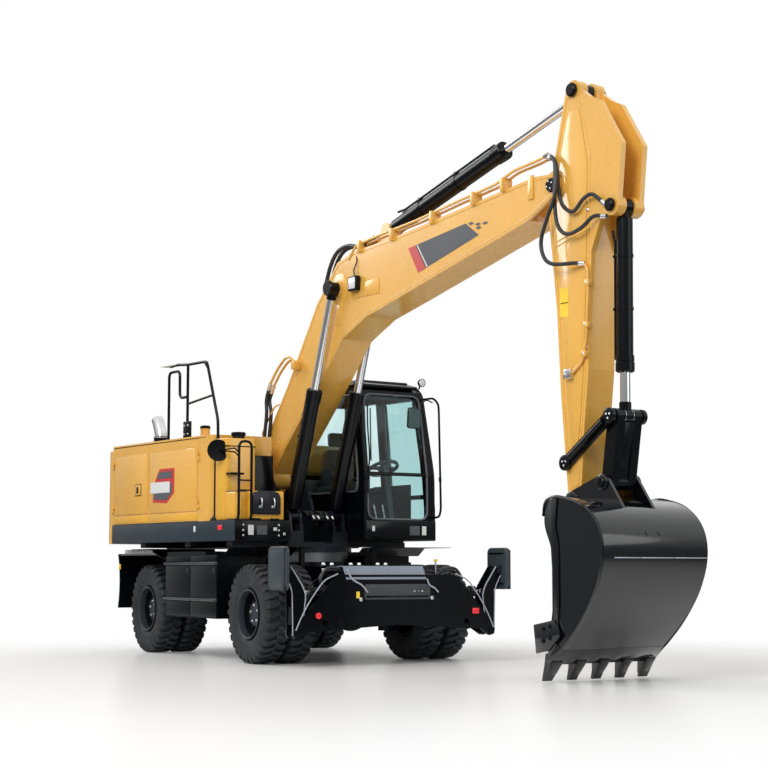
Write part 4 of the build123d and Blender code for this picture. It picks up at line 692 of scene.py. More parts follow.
class EXCAVATOR_OT_rams(bpy.types.Operator):
    """Build the rams of boom, arm and bucket with glands, pipes and clamps"""
    bl_idname = "excavator.rams"
    bl_label = "Rams"
    pipe: bpy.props.FloatProperty(name="Pipe radius", description="Radius of the pipes on the barrels in millimetres",
                                  default=13.0)

    def barrel(self, piece, base, eye, y, radius, length, top):
        start = Vector((base[0], y, base[1]))
        along = (Vector((eye[0], y, eye[1])) - start).normalized()
        up = Vector((-along.z, 0.0, along.x)) * top
        side = Vector((0.0, 1.0, 0.0))
        piece.take(lathe(((-50, 70), (-46, 76), (46, 76), (50, 70)), start, side, 36), "black_paint")
        piece.take(lathe(((48, 46), (96, 60), (112, radius), (length - 150, radius), (length - 148, radius + 9),
                          (length - 96, radius + 9), (length - 94, radius + 2), (length - 88, radius + 2),
                          (length - 86, radius + 12), (length - 8, radius + 12), (length, radius + 5), (length, 52)),
                         start, along, 40), "black_paint")
        for n in range(8):
            turn = 2 * pi * (n + 0.5) / 8
            at = start + along * (length - 1) + (up * cos(turn) + side * sin(turn)) * (radius - 12)
            piece.take(bolt_head(at, along, 9), "black_paint")
        for offset in (-26, 26):
            reach = radius + self.pipe + 8
            line = [start + along * (length - 120) + up * (radius - 6) + side * offset,
                    start + along * (length - 120) + up * reach + side * offset,
                    start + along * 330 + up * reach + side * offset,
                    start + along * 210 + up * (reach + 22) + side * offset * 1.3]
            piece.take(tube(line, self.pipe, bend=30.0), "black_paint")
        for place in (0.30, 0.62):
            at = start + along * length * place
            piece.take(lathe(((-16, radius + 1), (-15, radius + 6), (15, radius + 6), (16, radius + 1)), at, along,
                             32),
                       "black_paint")
            clamp = at + up * (radius + 14)
            piece.take(tube([clamp - side * 52, clamp + side * 52], 15, steps=8), "black_paint")
            piece.take(bolt_head(clamp + up * 26, up, 10), "bolt_steel")
        return start, along

    def execute(self, context):
        for barrel_name, rod_name, base, eye, offsets, radius, length in RAMS:
            piece = Piece(barrel_name + "_dressed", barrel_name)
            rods = Piece(rod_name + "_dressed", rod_name)
            for offset in offsets:
                y = BOOM_Y + offset
                top = -1.0 if rod_name == "bucket_rod" else 1.0
                start, along = self.barrel(piece, base, eye, y, radius, length, top)
                head = Vector((eye[0], y, eye[1]))
                width = 50.0
                rods.take(lathe(((-width, 66), (-width + 5, 72), (width - 5, 72), (width, 66)), head, (0, 1, 0), 36),
                          "black_paint")
                if offset:
                    outward = (0, 1 if offset > 0 else -1, 0)
                    rods.take(lathe(((48, 84), (54, 88), (80, 88), (88, 80)), head, outward, 36), "black_paint")
                reach = (head - start).length
                rods.take(round_bar(start + along * (reach - 130), head - along * 40, 56, 6), "black_paint")
                rods.take(round_bar(start + along * (length - 60), head - along * 100, 47, 2, 40), "rod_chrome")
            piece.finish("black_paint", (barrel_name,))
            rods.finish("rod_chrome")
        return {"FINISHED"}


class EXCAVATOR_OT_boom(bpy.types.Operator):
    """Dress the boom with pipes, clamps, lamp, panel, welds and pin caps"""
    bl_idname = "excavator.boom"
    bl_label = "Boom"
    pipe: bpy.props.FloatProperty(name="Pipe radius", description="Radius of the boom's pipes in millimetres",
                                  default=15.0)

    def execute(self, context):
        piece = Piece("boom_details", "boom")
        right = BOOM_Y - BOOM_SIDE
        left = BOOM_Y + BOOM_SIDE
        for face in (right, left):
            bead(piece, drawn_back(BOOM_LINE, 16), face, 5, "body_paint")
        for offset, lift in ((26, 0), (-26, 18)):
            y = right + 24 + offset
            piece.take(tube([(1560, y, 4420 + lift), (1700, y, 4560 + lift), (2130, y, 4600 + lift),
                             (2873, y, 4650 + lift),
                             (3571, y, 4728 + lift), (4227, y, 4790 + lift), (4464, y, 4870 + lift),
                             (4846, y, 4900 + lift),
                             (4960, y, 4920 + lift)], self.pipe, bend=90.0), "body_paint")
            piece.take(tube([(4950, y, 4918 + lift), (5010, y, 4930 + lift)], 22, steps=6), "bolt_steel")
        for offset in (26, -26):
            y = left - 24 + offset
            piece.take(tube([(1560, y, 4420), (1700, y, 4560), (2873, y, 4650), (4227, y, 4790), (4700, y, 4800)],
                            self.pipe, bend=90.0), "body_paint")
        for x, z in ((1800, 4540), (2420, 4575), (3150, 4640), (3850, 4715), (4330, 4770)):
            for side_y in (right + 24, left - 24):
                piece.take(block((x - 24, side_y - 62, z - 60), (x + 24, side_y + 62, z + 76), 5), "body_paint")
                piece.take(bolt_head((x, side_y, z + 74), (0, 0, 1), 11), "bolt_steel")
        piece.take(slab(oblong(4711, 4555, 4789, 4790), right - 14, right + 2), "body_paint")
        # Pin caps, the plate round the rams' pin and the foot's boss
        for face, out in ((right, -1), (left, 1)):
            piece.take(lathe(((-4, 70), (6, 70), (10, 62), (30, 62), (38, 54)), pin_at(TIP_PIN, face + out * 2),
                             (0, out, 0), 36),
                       "black_paint")
            for n in range(4):
                turn = pi / 2 * n + 0.4
                piece.take(bolt_head((TIP_PIN[0] + 38 * cos(turn), face + out * 38, TIP_PIN[1] + 38 * sin(turn)),
                                     (0, out, 0), 8), "bolt_steel")
            piece.take(lathe(((-4, 176), (8, 176), (12, 170), (12, 90)), pin_at(BOOM_RAM_PIN, face), (0, out, 0), 48),
                       "body_paint")
            piece.take(lathe(((-4, 150), (5, 150), (8, 144), (8, 128)), pin_at(FOOT_PIN, face), (0, out, 0), 48),
                       "body_paint")
            piece.take(slab([(1290, 3720), (1400, 3720), (1470, 4010), (1300, 4020)], face - 6, face + 6, bevel=5),
                       "body_paint")
        # Blank panel with its stripe and three squares
        panel = ((2708, 4390), (2884, 4106), (3922, 4342), (3704, 4494))
        face = right - 3
        for u0, u1, finish, out in ((0.0, 1.0, "plate_grey", 0), (0.0, 0.13, "mark_red", 2),
                                    (0.15, 0.165, "plate_white", 2)):
            outline = [in_panel(panel, u, v) for u, v in ((u0, 0), (u0, 1), (u1, 1), (u1, 0))]
            piece.take(slab(outline, face - out, right + 2, bevel=0.5, segments=1), finish)
        for u, v in ((1.03, 0.06), (1.09, 0.30), (1.05, 0.52), (1.17, 0.46)):
            outline = [in_panel(panel, u + du, v + dv) for du, dv in ((0, 0), (0, 0.17), (0.06, 0.17), (0.06, 0))]
            piece.take(slab(outline, face, right + 2, bevel=0.5, segments=1), "plate_grey")
        # Work lamp on its plate with its cable
        piece.take(slab(oblong(1640, 3985, 2165, 4150), right - 8, right + 2, bevel=3), "body_paint")
        piece.take(block((1640, right - 70, 4062), (1810, right - 8, 4226), 12, 3), "black_paint")
        piece.take(block((1662, right - 78, 4084), (1788, right - 66, 4204), 8, 3), "lamp_glass")
        piece.take(tube([(1720, right - 30, 4220), (1700, right - 24, 4300), (1735, right - 12, 4390),
                         (1700, right + 10, 4480)],
                        7, curved=True, steps=8), "hose_rubber")
        # Hoses from the foot and over the elbow
        for k, y in enumerate((right - 40, right - 84)):
            shift = 34 * k
            piece.take(tube([(560, y + 60, 3330), (541, y + 20, 3350 + shift), (400, y, 3420 + shift),
                             (210, y - 6, 3310 + shift),
                             (27, y - 4, 3140 + shift)], 16, curved=True), "body_paint")
            piece.take(tube([(40, y - 4, 3150 + shift), (-20, y - 2, 3070 + shift)], 24, steps=6), "bolt_steel")
            piece.take(tube([(-10, y, 3085 + shift), (-66, y, 2985), (-30 - 30 * k, y, 2820),
                             (-90 - 30 * k, y + 10, 2540), (-180, y + 60, 2350),
                             (-150, y + 130, 2190)], 22, curved=True), "hose_rubber")
        piece.take(tube([(96, right - 4, 2930), (40, right - 40, 2890), (-150, right - 60, 2660),
                         (-190, right - 50, 2560), (-60, right - 30, 2420),
                         (-20, right + 6, 2330)], 10, curved=True), "body_paint")
        piece.take(block((500, right - 100, 3300), (580, right + 4, 3400), 6), "body_paint")
        for k in range(2):
            y = right + 40 + 70 * k
            piece.take(tube([(1010, y, 4190), (1130, y, 4440), (1280, y, 4580), (1500, y, 4610), (1760, y, 4560),
                             (1960, y + 40, 4640)],
                            24, curved=True), "hose_rubber")
        piece.finish("body_paint")
        return {"FINISHED"}


class EXCAVATOR_OT_arm(bpy.types.Operator):
    """Dress the arm with pipes, welds, pin caps and the hoses over its joint"""
    bl_idname = "excavator.arm"
    bl_label = "Arm"
    hose: bpy.props.FloatProperty(name="Hose radius", description="Radius of the hoses over the joint in millimetres",
                                  default=19.0)

    def execute(self, context):
        piece = Piece("arm_details", "arm")
        right, left = BOOM_Y - ARM_SIDE, BOOM_Y + ARM_SIDE
        for face, out in ((right, -1), (left, 1)):
            bead(piece, drawn_back(ARM_LINE, 8), face, 5, "body_paint")
            panel = drawn_back(((5260, 5330), (5140, 4925), (5040, 4373), (5140, 3444), (5184, 2611), (5262, 2050),
                                (5330, 2050),
                                (5380, 2300), (5440, 2842), (5490, 3646), (5530, 4800), (5420, 5330)), 10)
            piece.take(side_slab(panel, face, face + out * 6, 4.0), "body_paint")
            for pin, radius in ((ARM_RAM_PIN, 58), (BUCKET_RAM_PIN, 52), (IDLER_PIN, 50)):
                piece.take(lathe(((-4, radius + 10), (8, radius + 10), (12, radius), (24, radius), (30, radius - 8)),
                                 pin_at(pin, face + out * 20), (0, out, 0), 36), "black_paint")
            piece.take(lathe(((-4, 150), (9, 150), (14, 144), (14, 60)), pin_at(TIP_PIN, face), (0, out, 0), 48),
                       "body_paint")
            for x, z in ((5560, 4330), (5560, 3650), (5520, 3050)):
                piece.take(bolt_head((x - 40, face + out * 2, z), (0, out, 0), 14), "bolt_steel")
        for rise in (0, 46):
            piece.take(tube([(5071, right - 8, 4046 + rise), (5540, right - 8, 4150 + rise)], 4, steps=6),
                       "body_paint")
        # The bucket ram's pipe down the right side
        y = right - 26
        piece.take(tube([(5480, y, 3830), (5530, y, 3776), (5535, y, 3569), (5500, y, 3108), (5450, y, 2915),
                         (5290, y, 2815)],
                        15, bend=80.0), "body_paint")
        for x, z in ((5532, 3640), (5512, 3250), (5478, 2985)):
            piece.take(block((x - 30, y - 20, z - 28), (x + 30, right + 4, z + 28), 5), "body_paint")
            piece.take(bolt_head((x, y - 18, z), (0, -1, 0), 9), "bolt_steel")
        piece.take(block((5205, y - 34, 2770), (5305, right + 4, 2860), 8, 3), "exhaust_steel")
        piece.take(tube([(5240, y - 30, 2800), (5250, y - 52, 2815)], 14, steps=8), "bolt_steel")
        piece.take(slab([(5115, 3360), (5240, 3360), (5235, 3640), (5110, 3640)], right - 9, right + 1, bevel=0.6,
                        segments=1),
                   "warning_yellow")
        piece.take(slab([(5125, 3490), (5231, 3490), (5230, 3498), (5125, 3498)], right - 10.5, right + 1, bevel=0.3,
                        segments=1),
                   "black_paint")
        piece.finish("body_paint")
        # Hoses over the joint between boom and arm
        hoses = (
            ("tip_hose_a", -315, ((4990, 4928), (5080, 4890), (5150, 4760), (5170, 4571), (5230, 4410), (5373, 4330),
                                  (5510, 4420),
                                  (5627, 4449), (5720, 4390), (5790, 4324))),
            ("tip_hose_b", -350, ((5000, 4945), (5120, 4840), (5150, 4476), (5190, 4229), (5319, 4121), (5517, 4145),
                                  (5660, 4235),
                                  (5800, 4215))),
            ("tip_hose_c", -385, ((5000, 4940), (5161, 4803), (5190, 4505), (5095, 4334), (4990, 4114), (5026, 3944),
                                  (5160, 3856),
                                  (5400, 3835), (5490, 3825))),
            ("tip_hose_d", 115, ((4990, 4918), (5090, 4890), (5160, 4740), (5200, 4500), (5320, 4360), (5480, 4400),
                                 (5600, 4400))))
        for name, y, line in hoses:
            hose = Piece(name, None)
            last = len(line) - 1
            inner = right - 24 if y < 0 else left + 24
            points = [(x, y + (inner - y) * (1.0 if k in (0, last) else 0.5 if k in (1, last - 1) else 0.0), z)
                      for k, (x, z) in enumerate(line)]
            hose.take(tube(points, self.hose, curved=True), "hose_rubber")
            for end, after in ((0, 1), (last, last - 1)):
                a, b = Vector(points[end]), Vector(points[after])
                hose.take(round_bar(a, a + (b - a).normalized() * 62, self.hose + 5, 4, 14), "bolt_steel")
            made = hose.finish("black_paint")
            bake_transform(made)
        return {"FINISHED"}


class EXCAVATOR_OT_bucket(bpy.types.Operator):
    """Dress the bucket and its links with cutters, lip, teeth, pins and a painted highlight across the shell's back
    """
    bl_idname = "excavator.bucket"
    bl_label = "Bucket"
    teeth: bpy.props.IntProperty(name="Teeth", description="Teeth on the bucket's lip", default=5, min=3)

    def execute(self, context):
        piece = Piece("bucket_details", "bucket")
        half = 625.0
        edge = ((5412, 1490), (5440, 1610), (5530, 1660), (5700, 1650), (5960, 1570), (6148, 1388), (6200, 1180),
                (6126, 876),
                (5936, 594), (5704, 362), (5452, 168))
        for out in (-1, 1):
            face = BOOM_Y + out * half
            piece.take(tube([(x - 26, face, z - 6) for x, z in edge], 12, curved=True, steps=8), "bucket_paint")
            front = [(5440, 190), (5520, 640), (5520, 960), (5500, 1225), (5424, 1400), (5428, 1520), (5500, 1640),
                     (5590, 1640),
                     (5560, 1400), (5600, 1225), (5605, 700), (5560, 330)]
            piece.take(side_slab(front, face, face + out * 16, 5), "bucket_paint")
            cutter = [(5279, 511), (5312, 252), (5480, 285), (5640, 420), (5560, 560)]
            piece.take(side_slab(cutter, face + out * 14, face + out * 40, 6),
                       "bucket_paint")
            for x, z in ((5420, 480), (5510, 500), (5420, 370), (5510, 400)):
                piece.take(bolt_head((x, face + out * 39, z), (0, out, 0), 17), "black_paint")
        # Lip and adapters with their teeth
        piece.take(slab([(5412, 196), (5452, 158), (5620, 300), (5580, 345)], BOOM_Y - half - 12, BOOM_Y + half + 12,
                        bevel=5),
                   "bucket_paint")
        for n in range(self.teeth):
            y = BOOM_Y + (n / (self.teeth - 1) - 0.5) * 2 * (half - 62)
            piece.take(slab([(5590, 330), (5545, 360), (5400, 238), (5372, 150), (5420, 120), (5500, 190)], y - 36,
                            y + 36, bevel=6),
                       "bucket_paint")
            tip = []
            for width, low, high in ((56, (5505, 182), (5392, 262)), (52, (5430, 92), (5368, 160)),
                                     (40, (5392, 40), (5350, 66)),
                                     (34, (5362, 13), (5352, 22))):
                tip.append([(low[0], y - width, low[1]), (low[0], y + width, low[1]),
                            (high[0], y + width, high[1]), (high[0], y - width, high[1])])
            piece.take(soften(skin(tip), 4.0), "bucket_paint")
            piece.take(round_bar((5440, y - 58, 190), (5440, y + 58, 190), 16), "bolt_steel")
        # Painted highlight across the back of the shell, drawn as three thin pale strips; drain holes
        for y0, y1 in ((-505, -215), (-200, 190), (205, 610)):
            piece.take(block((6189, BOOM_Y + y0, 1103), (6204, BOOM_Y + y1, 1113), 2), "painted_edge_highlight")
        for y in (-90, 60):
            piece.take(lathe(((-3, 24), (2, 24), (3, 14), (3, 6)), (6171, BOOM_Y + y, 1330), (0.9, 0, 0.44), 20),
                       "hose_rubber")
        # Reinforcing rings and pin ends on the ears
        for out in (-1, 1):
            for pin, radius in ((BUCKET_PIN, 84), (EAR_PIN, 74)):
                piece.take(lathe(((0, radius), (9, radius), (13, radius - 6), (13, 44)),
                                 pin_at(pin, BOOM_Y + out * 200), (0, out, 0), 40),
                           "bucket_paint")
                piece.take(lathe(((0, 46), (22, 46), (28, 38)), pin_at(pin, BOOM_Y + out * 204), (0, out, 0), 30),
                           "black_paint")
        piece.finish("black_paint")
        link = Piece("bucket_link_details", "bucket_link")
        link.take(slab([(5650, 1830), (5770, 1830), (5872, 2330), (5752, 2330)], BOOM_Y - 62, BOOM_Y + 62, bevel=8),
                  "black_paint")
        for out in (-1, 1):
            for pin in (LINK_PIN, EAR_PIN):
                link.take(lathe(((0, 60), (7, 60), (10, 52)), pin_at(pin, BOOM_Y + out * 150), (0, out, 0), 32),
                          "black_paint")
        link.finish("black_paint")
        idlers = Piece("idler_details", "idler_links")
        for out in (-1, 1):
            outer = BOOM_Y + out * 205
            for (x, z), radius in ((IDLER_PIN, 62), (LINK_PIN, 58)):
                idlers.take(lathe(((-34, radius + 8), (-30, radius + 12), (6, radius + 12), (10, radius + 4),
                                   (12, 40)),
                                  (x, outer, z), (0, out, 0), 36), "black_paint")
                for n in range(3):
                    turn = 2 * pi * n / 3 + 0.5
                    idlers.take(bolt_head((x + 26 * cos(turn), outer + out * 10, z + 26 * sin(turn)), (0, out, 0), 9),
                                "bolt_steel")
            idlers.take(tube([(5270, outer, 2036), (5740, outer, 2344)], 34, steps=14), "black_paint")
        idlers.finish("black_paint")
        return {"FINISHED"}


SIDE_Y = 1280.0
SEAM_X = -1300.0
HOOD_TOP = 2530.0
DECK_TOP = 1550.0


class EXCAVATOR_OT_hood(bpy.types.Operator):
    """Dress the hood and its doors, the counterweight and the skirt"""
    bl_idname = "excavator.hood"
    bl_label = "Hood and counterweight"
    crease: bpy.props.FloatProperty(name="Crease",
                                    description="How far the doors' raised panels stand out, in millimetres",
                                    default=9.0)

    def door(self, name, body, side, x0, x1):
        """The raised skin of one door, with a band below it."""
        piece = Piece(name, body)
        face, out = side * SIDE_Y, side * self.crease
        low, high = 1668, 2396
        upper = [(x0 + 24, low), (x1 - 24, low), (x1 - 24, high - 60), (x1 - 84, high), (x0 + 24, high)]
        piece.take(side_slab(upper, face - side * 2, face + out, 8, 3), "body_paint")
        piece.take(side_slab(oblong(x0 + 10, 1568, x1 - 10, low - 12),
                        face - side * 2, face + out * 0.5, 4, 3), "tank_paint")
        return piece, face + out

    def latch(self, piece, x, z, face, side):
        """A recessed handle in its frame."""
        rim = oblong(x - 80, z - 72, x + 80, z + 72)
        piece.take(side_slab(rim, face - side * 3, face + side * 4, 3), "black_paint")
        inner = oblong(x - 70, z - 62, x + 70, z + 62)
        piece.take(side_slab(inner, face, face + side * 6, 2.5), "body_paint")
        piece.take(side_slab(oblong(x - 30, z - 40, x + 12, z + 40),
                             face, face + side * 12, 4), "black_paint")

    def execute(self, context):
        rear, face = self.door("rear_door_skin", "hood_door_right_rear", -1, -2244, SEAM_X - 4)
        self.latch(rear, SEAM_X - 270, 1960, face, -1)
        rear.finish("body_paint")
        front, face = self.door("front_door_skin", "hood_door_right_front", -1, SEAM_X + 4, -76)
        plates = (([(-1180, 1800), (-820, 1780), (-640, 1900), (-640, 2190), (-1010, 2190), (-1120, 2060)],
                   "mark_red", 3),
                  ([(-1150, 1835), (-830, 1812), (-690, 1905), (-690, 2010), (-1180, 2010)], "plate_grey", 5),
                  (oblong(-1235, 1905, -745, 2035), "plate_white", 7),
                  ([(-1075, 2075), (-700, 2075), (-700, 2155), (-1020, 2155)], "plate_grey", 6))
        for outline, finish, out in plates:
            front.take(slab(outline, face - out, face + 1, bevel=0.8, segments=1), finish)
        front.finish("body_paint")
        left, face = self.door("left_door_skin", "hood_door_left", 1, -2244, -706)
        self.latch(left, -900, 1960, face, 1)
        for n in range(9):
            z = 1760 + n * 52
            left.take(slab([(-2080, z), (-1420, z), (-1420, z + 30), (-2080, z + 22)], face - 3, face + 9, bevel=4),
                      "black_paint")
        left.finish("body_paint")

        piece = Piece("hood_details", "upper")
        # Rounded roof edges, covers, cap and hinges on top
        for side in (1, -1):
            front_x = -640 if side > 0 else 110
            piece.take(tube([(-2285, side * (SIDE_Y - 14), HOOD_TOP - 12),
                             (front_x, side * (SIDE_Y - 14), HOOD_TOP - 12)], 15, steps=16),
                       "body_paint")
            piece.take(side_slab(oblong(-2260, HOOD_TOP - 26, front_x, HOOD_TOP - 20),
                            side * SIDE_Y, side * (SIDE_Y + 3), 1), "black_paint")
        piece.take(block((-2040, -420, HOOD_TOP - 4), (-1460, 420, HOOD_TOP + 34), 18, 4), "body_paint")
        piece.take(block((-1240, -320, HOOD_TOP - 4), (-760, 640, HOOD_TOP + 20), 12, 4), "body_paint")
        for y in (-240, 80, 400):
            piece.take(block((-770, y, HOOD_TOP - 2), (-730, y + 90, HOOD_TOP + 34), 6), "black_paint")
        for x in (-1730, -1560, -1010, -850):
            piece.take(block((x, -1130, HOOD_TOP - 2), (x + 90, -1085, HOOD_TOP + 26), 6), "body_paint")
            piece.take(round_bar((x + 8, -1150, HOOD_TOP + 14), (x + 82, -1150, HOOD_TOP + 14), 11), "bolt_steel")
        piece.take(lathe(((0, 70), (12, 70), (16, 56), (100, 54), (104, 58), (118, 58), (122, 40)),
                         (-430, -1000, HOOD_TOP), (0, 0, 1), 40),
                   "body_paint")
        piece.take(lathe(((0, 60), (20, 62), (34, 54), (36, 30)), (-430, -1000, HOOD_TOP + 120), (0, 0, 1), 40),
                   "black_paint")
        # Louvres in the hood's top over the cooler
        for n in range(10):
            piece.take(block((-2000 + n * 52, -1010, HOOD_TOP - 2), (-1968 + n * 52, -560, HOOD_TOP + 9), 4),
                       "black_paint")
        # Rear lamps and lifting eyes of the counterweight
        for side in (1, -1):
            piece.take(block((-2560, side * 980 - 60, 2462), (-2420, side * 980 + 60, 2478), 6), "body_paint")
            piece.take(tube([(-2540, side * 900, 2466), (-2540, side * 900, 2520), (-2430, side * 900, 2520),
                             (-2430, side * 900, 2466)],
                            16, bend=40.0), "body_paint")
            lamp = Vector((-2622, side * 870, 1500))
            away = Vector((-0.95, side * 0.31, 0.0)).normalized()
            piece.take(lathe(((-8, 52), (16, 52), (22, 46), (24, 20)), lamp, away, 32), "marker_red")
            piece.take(lathe(((-10, 62), (6, 62), (8, 54)), lamp, away, 32), "black_paint")
        # Skirt: grey-blue along the side, black box in front, with blank plates, lamp and reflector
        piece.take(slab(oblong(-2285, 1322, 778, 1548), -SIDE_Y - 6, -SIDE_Y + 2, bevel=4), "skirt_grey")
        piece.take(slab(oblong(-2285, 1322, -660, 1548), SIDE_Y - 2, SIDE_Y + 6, bevel=4), "skirt_grey")
        piece.take(slab(oblong(-SIDE_Y, 1326, -560, 1546), 776, 790, "x", 6), "black_paint")
        piece.take(slab(oblong(-SIDE_Y, 1560, -1060, 1546), 560, 780, "x", 4), "black_paint")
        for x, z, wide, high, finish in ((-130, 1462, 38, 66, "lamp_glass"), (460, 1470, 92, 54, "marker_red")):
            piece.take(slab(oblong(x - wide / 2, z - high / 2, x + wide / 2, z + high / 2), -SIDE_Y - 16, -SIDE_Y - 4,
                            bevel=6, segments=3), finish)
        for y, z, wide, high, finish in ((-1083, 1440, 70, 110, "plate_white"), (-940, 1440, 130, 104, "plate_grey"),
                                         (-769, 1452, 46, 36, "plate_white"), (-650, 1400, 30, 30, "bolt_steel")):
            piece.take(slab(oblong(y - wide / 2, z - high / 2, y + wide / 2, z + high / 2), 788, 794, "x", 1.0, 1),
                       finish)
        for z in range(1380, 1500, 58):
            for y in (-1180, -720):
                piece.take(bolt_head((789, y, z), (1, 0, 0), 9), "bolt_steel")
        piece.finish("body_paint")
        return {"FINISHED"}


class EXCAVATOR_OT_steps(bpy.types.Operator):
    """Build the tank with its steps and box, the rails, the grip, the mirror and the exhaust"""
    bl_idname = "excavator.steps"
    bl_label = "Tank, steps and rails"
    rail: bpy.props.FloatProperty(name="Rail radius", description="Radius of the guard rails in millimetres",
                                  default=17.0)

    def execute(self, context):
        tank = Piece("tank_body", "upper")
        corner = [(252, -843), (252, -1240), (420, -1240), (452, -1232), (474, -1210), (482, -1178), (482, -860),
                  (465, -843)]
        tank.take(slab(corner, 1552, 2478, "z", 14, 4), "tank_paint")
        tank.take(block((258, -1236, 2380), (486, -849, 2392), 3), "black_paint")
        tank.take(block((256, -843, 1552), (400, -560, 2300), 16), "black_paint")
        tank.take(block((470, -1080, 1552), (778, -640, 1878), 26, 5), "tank_paint")
        tank.take(block((470, -1240, 1552), (700, -1070, 1868), 24, 5), "tank_paint")
        tank.take(block((476, -1232, 2060), (600, -1060, 2084), 6), "black_paint")
        tank.take(block((476, -1228, 1866), (694, -1084, 1876), 4), "plate_grey")
        tank.take(lathe(((0, 74), (40, 70), (42, 84), (72, 84), (80, 74)), (370, -1010, 2474), (0, 0, 1), 36),
                  "black_paint")
        # Dark pad on the box with two handles and feet
        pad = [(-1072, 1615), (-706, 1615), (-706, 1800), (-730, 1858), (-790, 1876), (-990, 1876), (-1048, 1858),
               (-1072, 1800)]
        tank.take(slab(pad, 770, 812, "x", 16, 4), "frame_grey")
        for y in (-970, -806):
            tank.take(tube([(806, y, 1690), (832, y, 1700), (840, y, 1740), (832, y, 1786), (806, y, 1796)], 11,
                           bend=20.0), "bolt_steel")
            tank.take(block((800, y - 24, 1682), (814, y + 24, 1710), 4), "bolt_steel")
        for y in (-1010, -770):
            tank.take(block((700, y - 50, 1550), (800, y + 50, 1572), 6), "black_paint")
        tank.finish("tank_paint", ("tank_and_steps",))

        rails = Piece("guard_rails", "upper")
        y, r = -1200.0, self.rail
        rails.take(tube([(-970, y, HOOD_TOP), (-970, y, 3345), (-700, y, 3345), (-694, y, 3020), (-520, y, 3020)], r,
                        bend=70.0),
                   "black_paint")
        rails.take(tube([(-500, y, HOOD_TOP), (-500, y, 3400)], r), "black_paint")
        rails.take(slab([(-1135, 3426), (-763, 3422), (-763, 3434), (-1135, 3438)], y - 30, y + 90, bevel=3),
                   "plate_white")
        rails.take(tube([(-1000, y + 40, 3424), (-780, y, 3424), (-500, y, 3400), (-42, y, 3395), (231, y, 2696),
                         (238, y, 2467),
                         (238, y - 28, 2300), (238, y - 28, 1580)], r, bend=60.0), "black_paint")
        rails.take(slab([(-110, 3385), (-20, 3392), (20, 3290), (0, 3275)], y - 5, y + 5, bevel=2), "black_paint")
        rails.take(tube([(-495, y, 2935), (95, y, 2990)], r * 0.8), "black_paint")
        rails.take(block((-575, y - 18, HOOD_TOP), (-425, y + 18, HOOD_TOP + 200), 6), "black_paint")
        rails.take(block((-1010, y - 34, HOOD_TOP), (-930, y + 34, HOOD_TOP + 14), 4), "black_paint")
        rails.take(lathe(((0, 60), (10, 60), (60, 22)), (238, y - 28, DECK_TOP + 2), (0, 0, 1), 4), "black_paint")
        for z in (HOOD_TOP + 50, HOOD_TOP + 150):
            for x in (-545, -455):
                rails.take(bolt_head((x, y - 18, z), (0, -1, 0), 9), "bolt_steel")
        # The grip beside the steps and the round mirror on its arms
        x = 806.0
        rails.take(tube([(x - 24, -1250, 1556), (x, -1250, 1600), (x, -1250, 2420), (x, -1090, 2420),
                         (x, -1090, 1600),
                         (x - 24, -1090, 1556)], r * 0.9, bend=72.0), "black_paint")
        for z in (1877, 1987):
            rails.take(tube([(x, -1250, z), (x, -1090, z)], 9, steps=8), "black_paint")
        for z in (2300, 2345):
            rails.take(tube([(x, -1250, z - 60), (x - 60, -1262, z), (430, -1290, 2335)], 9, bend=60.0, steps=8),
                       "black_paint")
        away = Vector((0.94, -0.34, 0.05)).normalized()
        rails.take(lathe(((-30, 60), (-22, 104), (-8, 122), (6, 124), (12, 118), (10, 108)), (420, -1300, 2335), away,
                         44), "black_paint")
        rails.take(lathe(((0, 106), (3, 60)), (421, -1300, 2335), -away, 44), "black_paint")
        rails.finish("black_paint", ("handrails",))

        pipe = Piece("exhaust_pipe", "upper")
        pipe.take(tube([(-1780, -880, HOOD_TOP), (-1780, -880, 2660), (-1860, -880, 2830), (-1885, -880, 2865)], 74,
                       bend=120.0, steps=28),
                  "exhaust_steel")
        pipe.take(lathe(((0.5, 64), (-60, 62), (-60, 30)), (-1885, -880, 2865), (-0.55, 0, 0.83), 28), "hose_rubber")
        pipe.take(lathe(((0, 112), (8, 112), (14, 90), (112, 90), (118, 78)), (-1780, -880, HOOD_TOP), (0, 0, 1), 36),
                  "black_paint")
        pipe.take(lathe(((92, 90), (94, 95), (106, 95), (108, 90)), (-1780, -880, HOOD_TOP), (0, 0, 1), 36),
                  "bolt_steel")
        pipe.finish("exhaust_steel", ("exhaust",))
        return {"FINISHED"}


def screen_x(z):
    """How far forward the cab's front stands at a height."""
    return 1000.0 - max(0.0, z - 2100.0) * 115.0 / 980.0


def rounded(points, reach, samples=6):
    """An outline with its corners rounded."""
    made = []
    count = len(points)
    for k in range(count):
        a, b, c = (Vector(points[(k + n) % count]) for n in (-1, 0, 1))
        start, end = b + (a - b).normalized() * reach, b + (c - b).normalized() * reach
        for n in range(samples + 1):
            t = n / samples
            made.append(start.lerp(b, t).lerp(b.lerp(end, t), t))
    return made


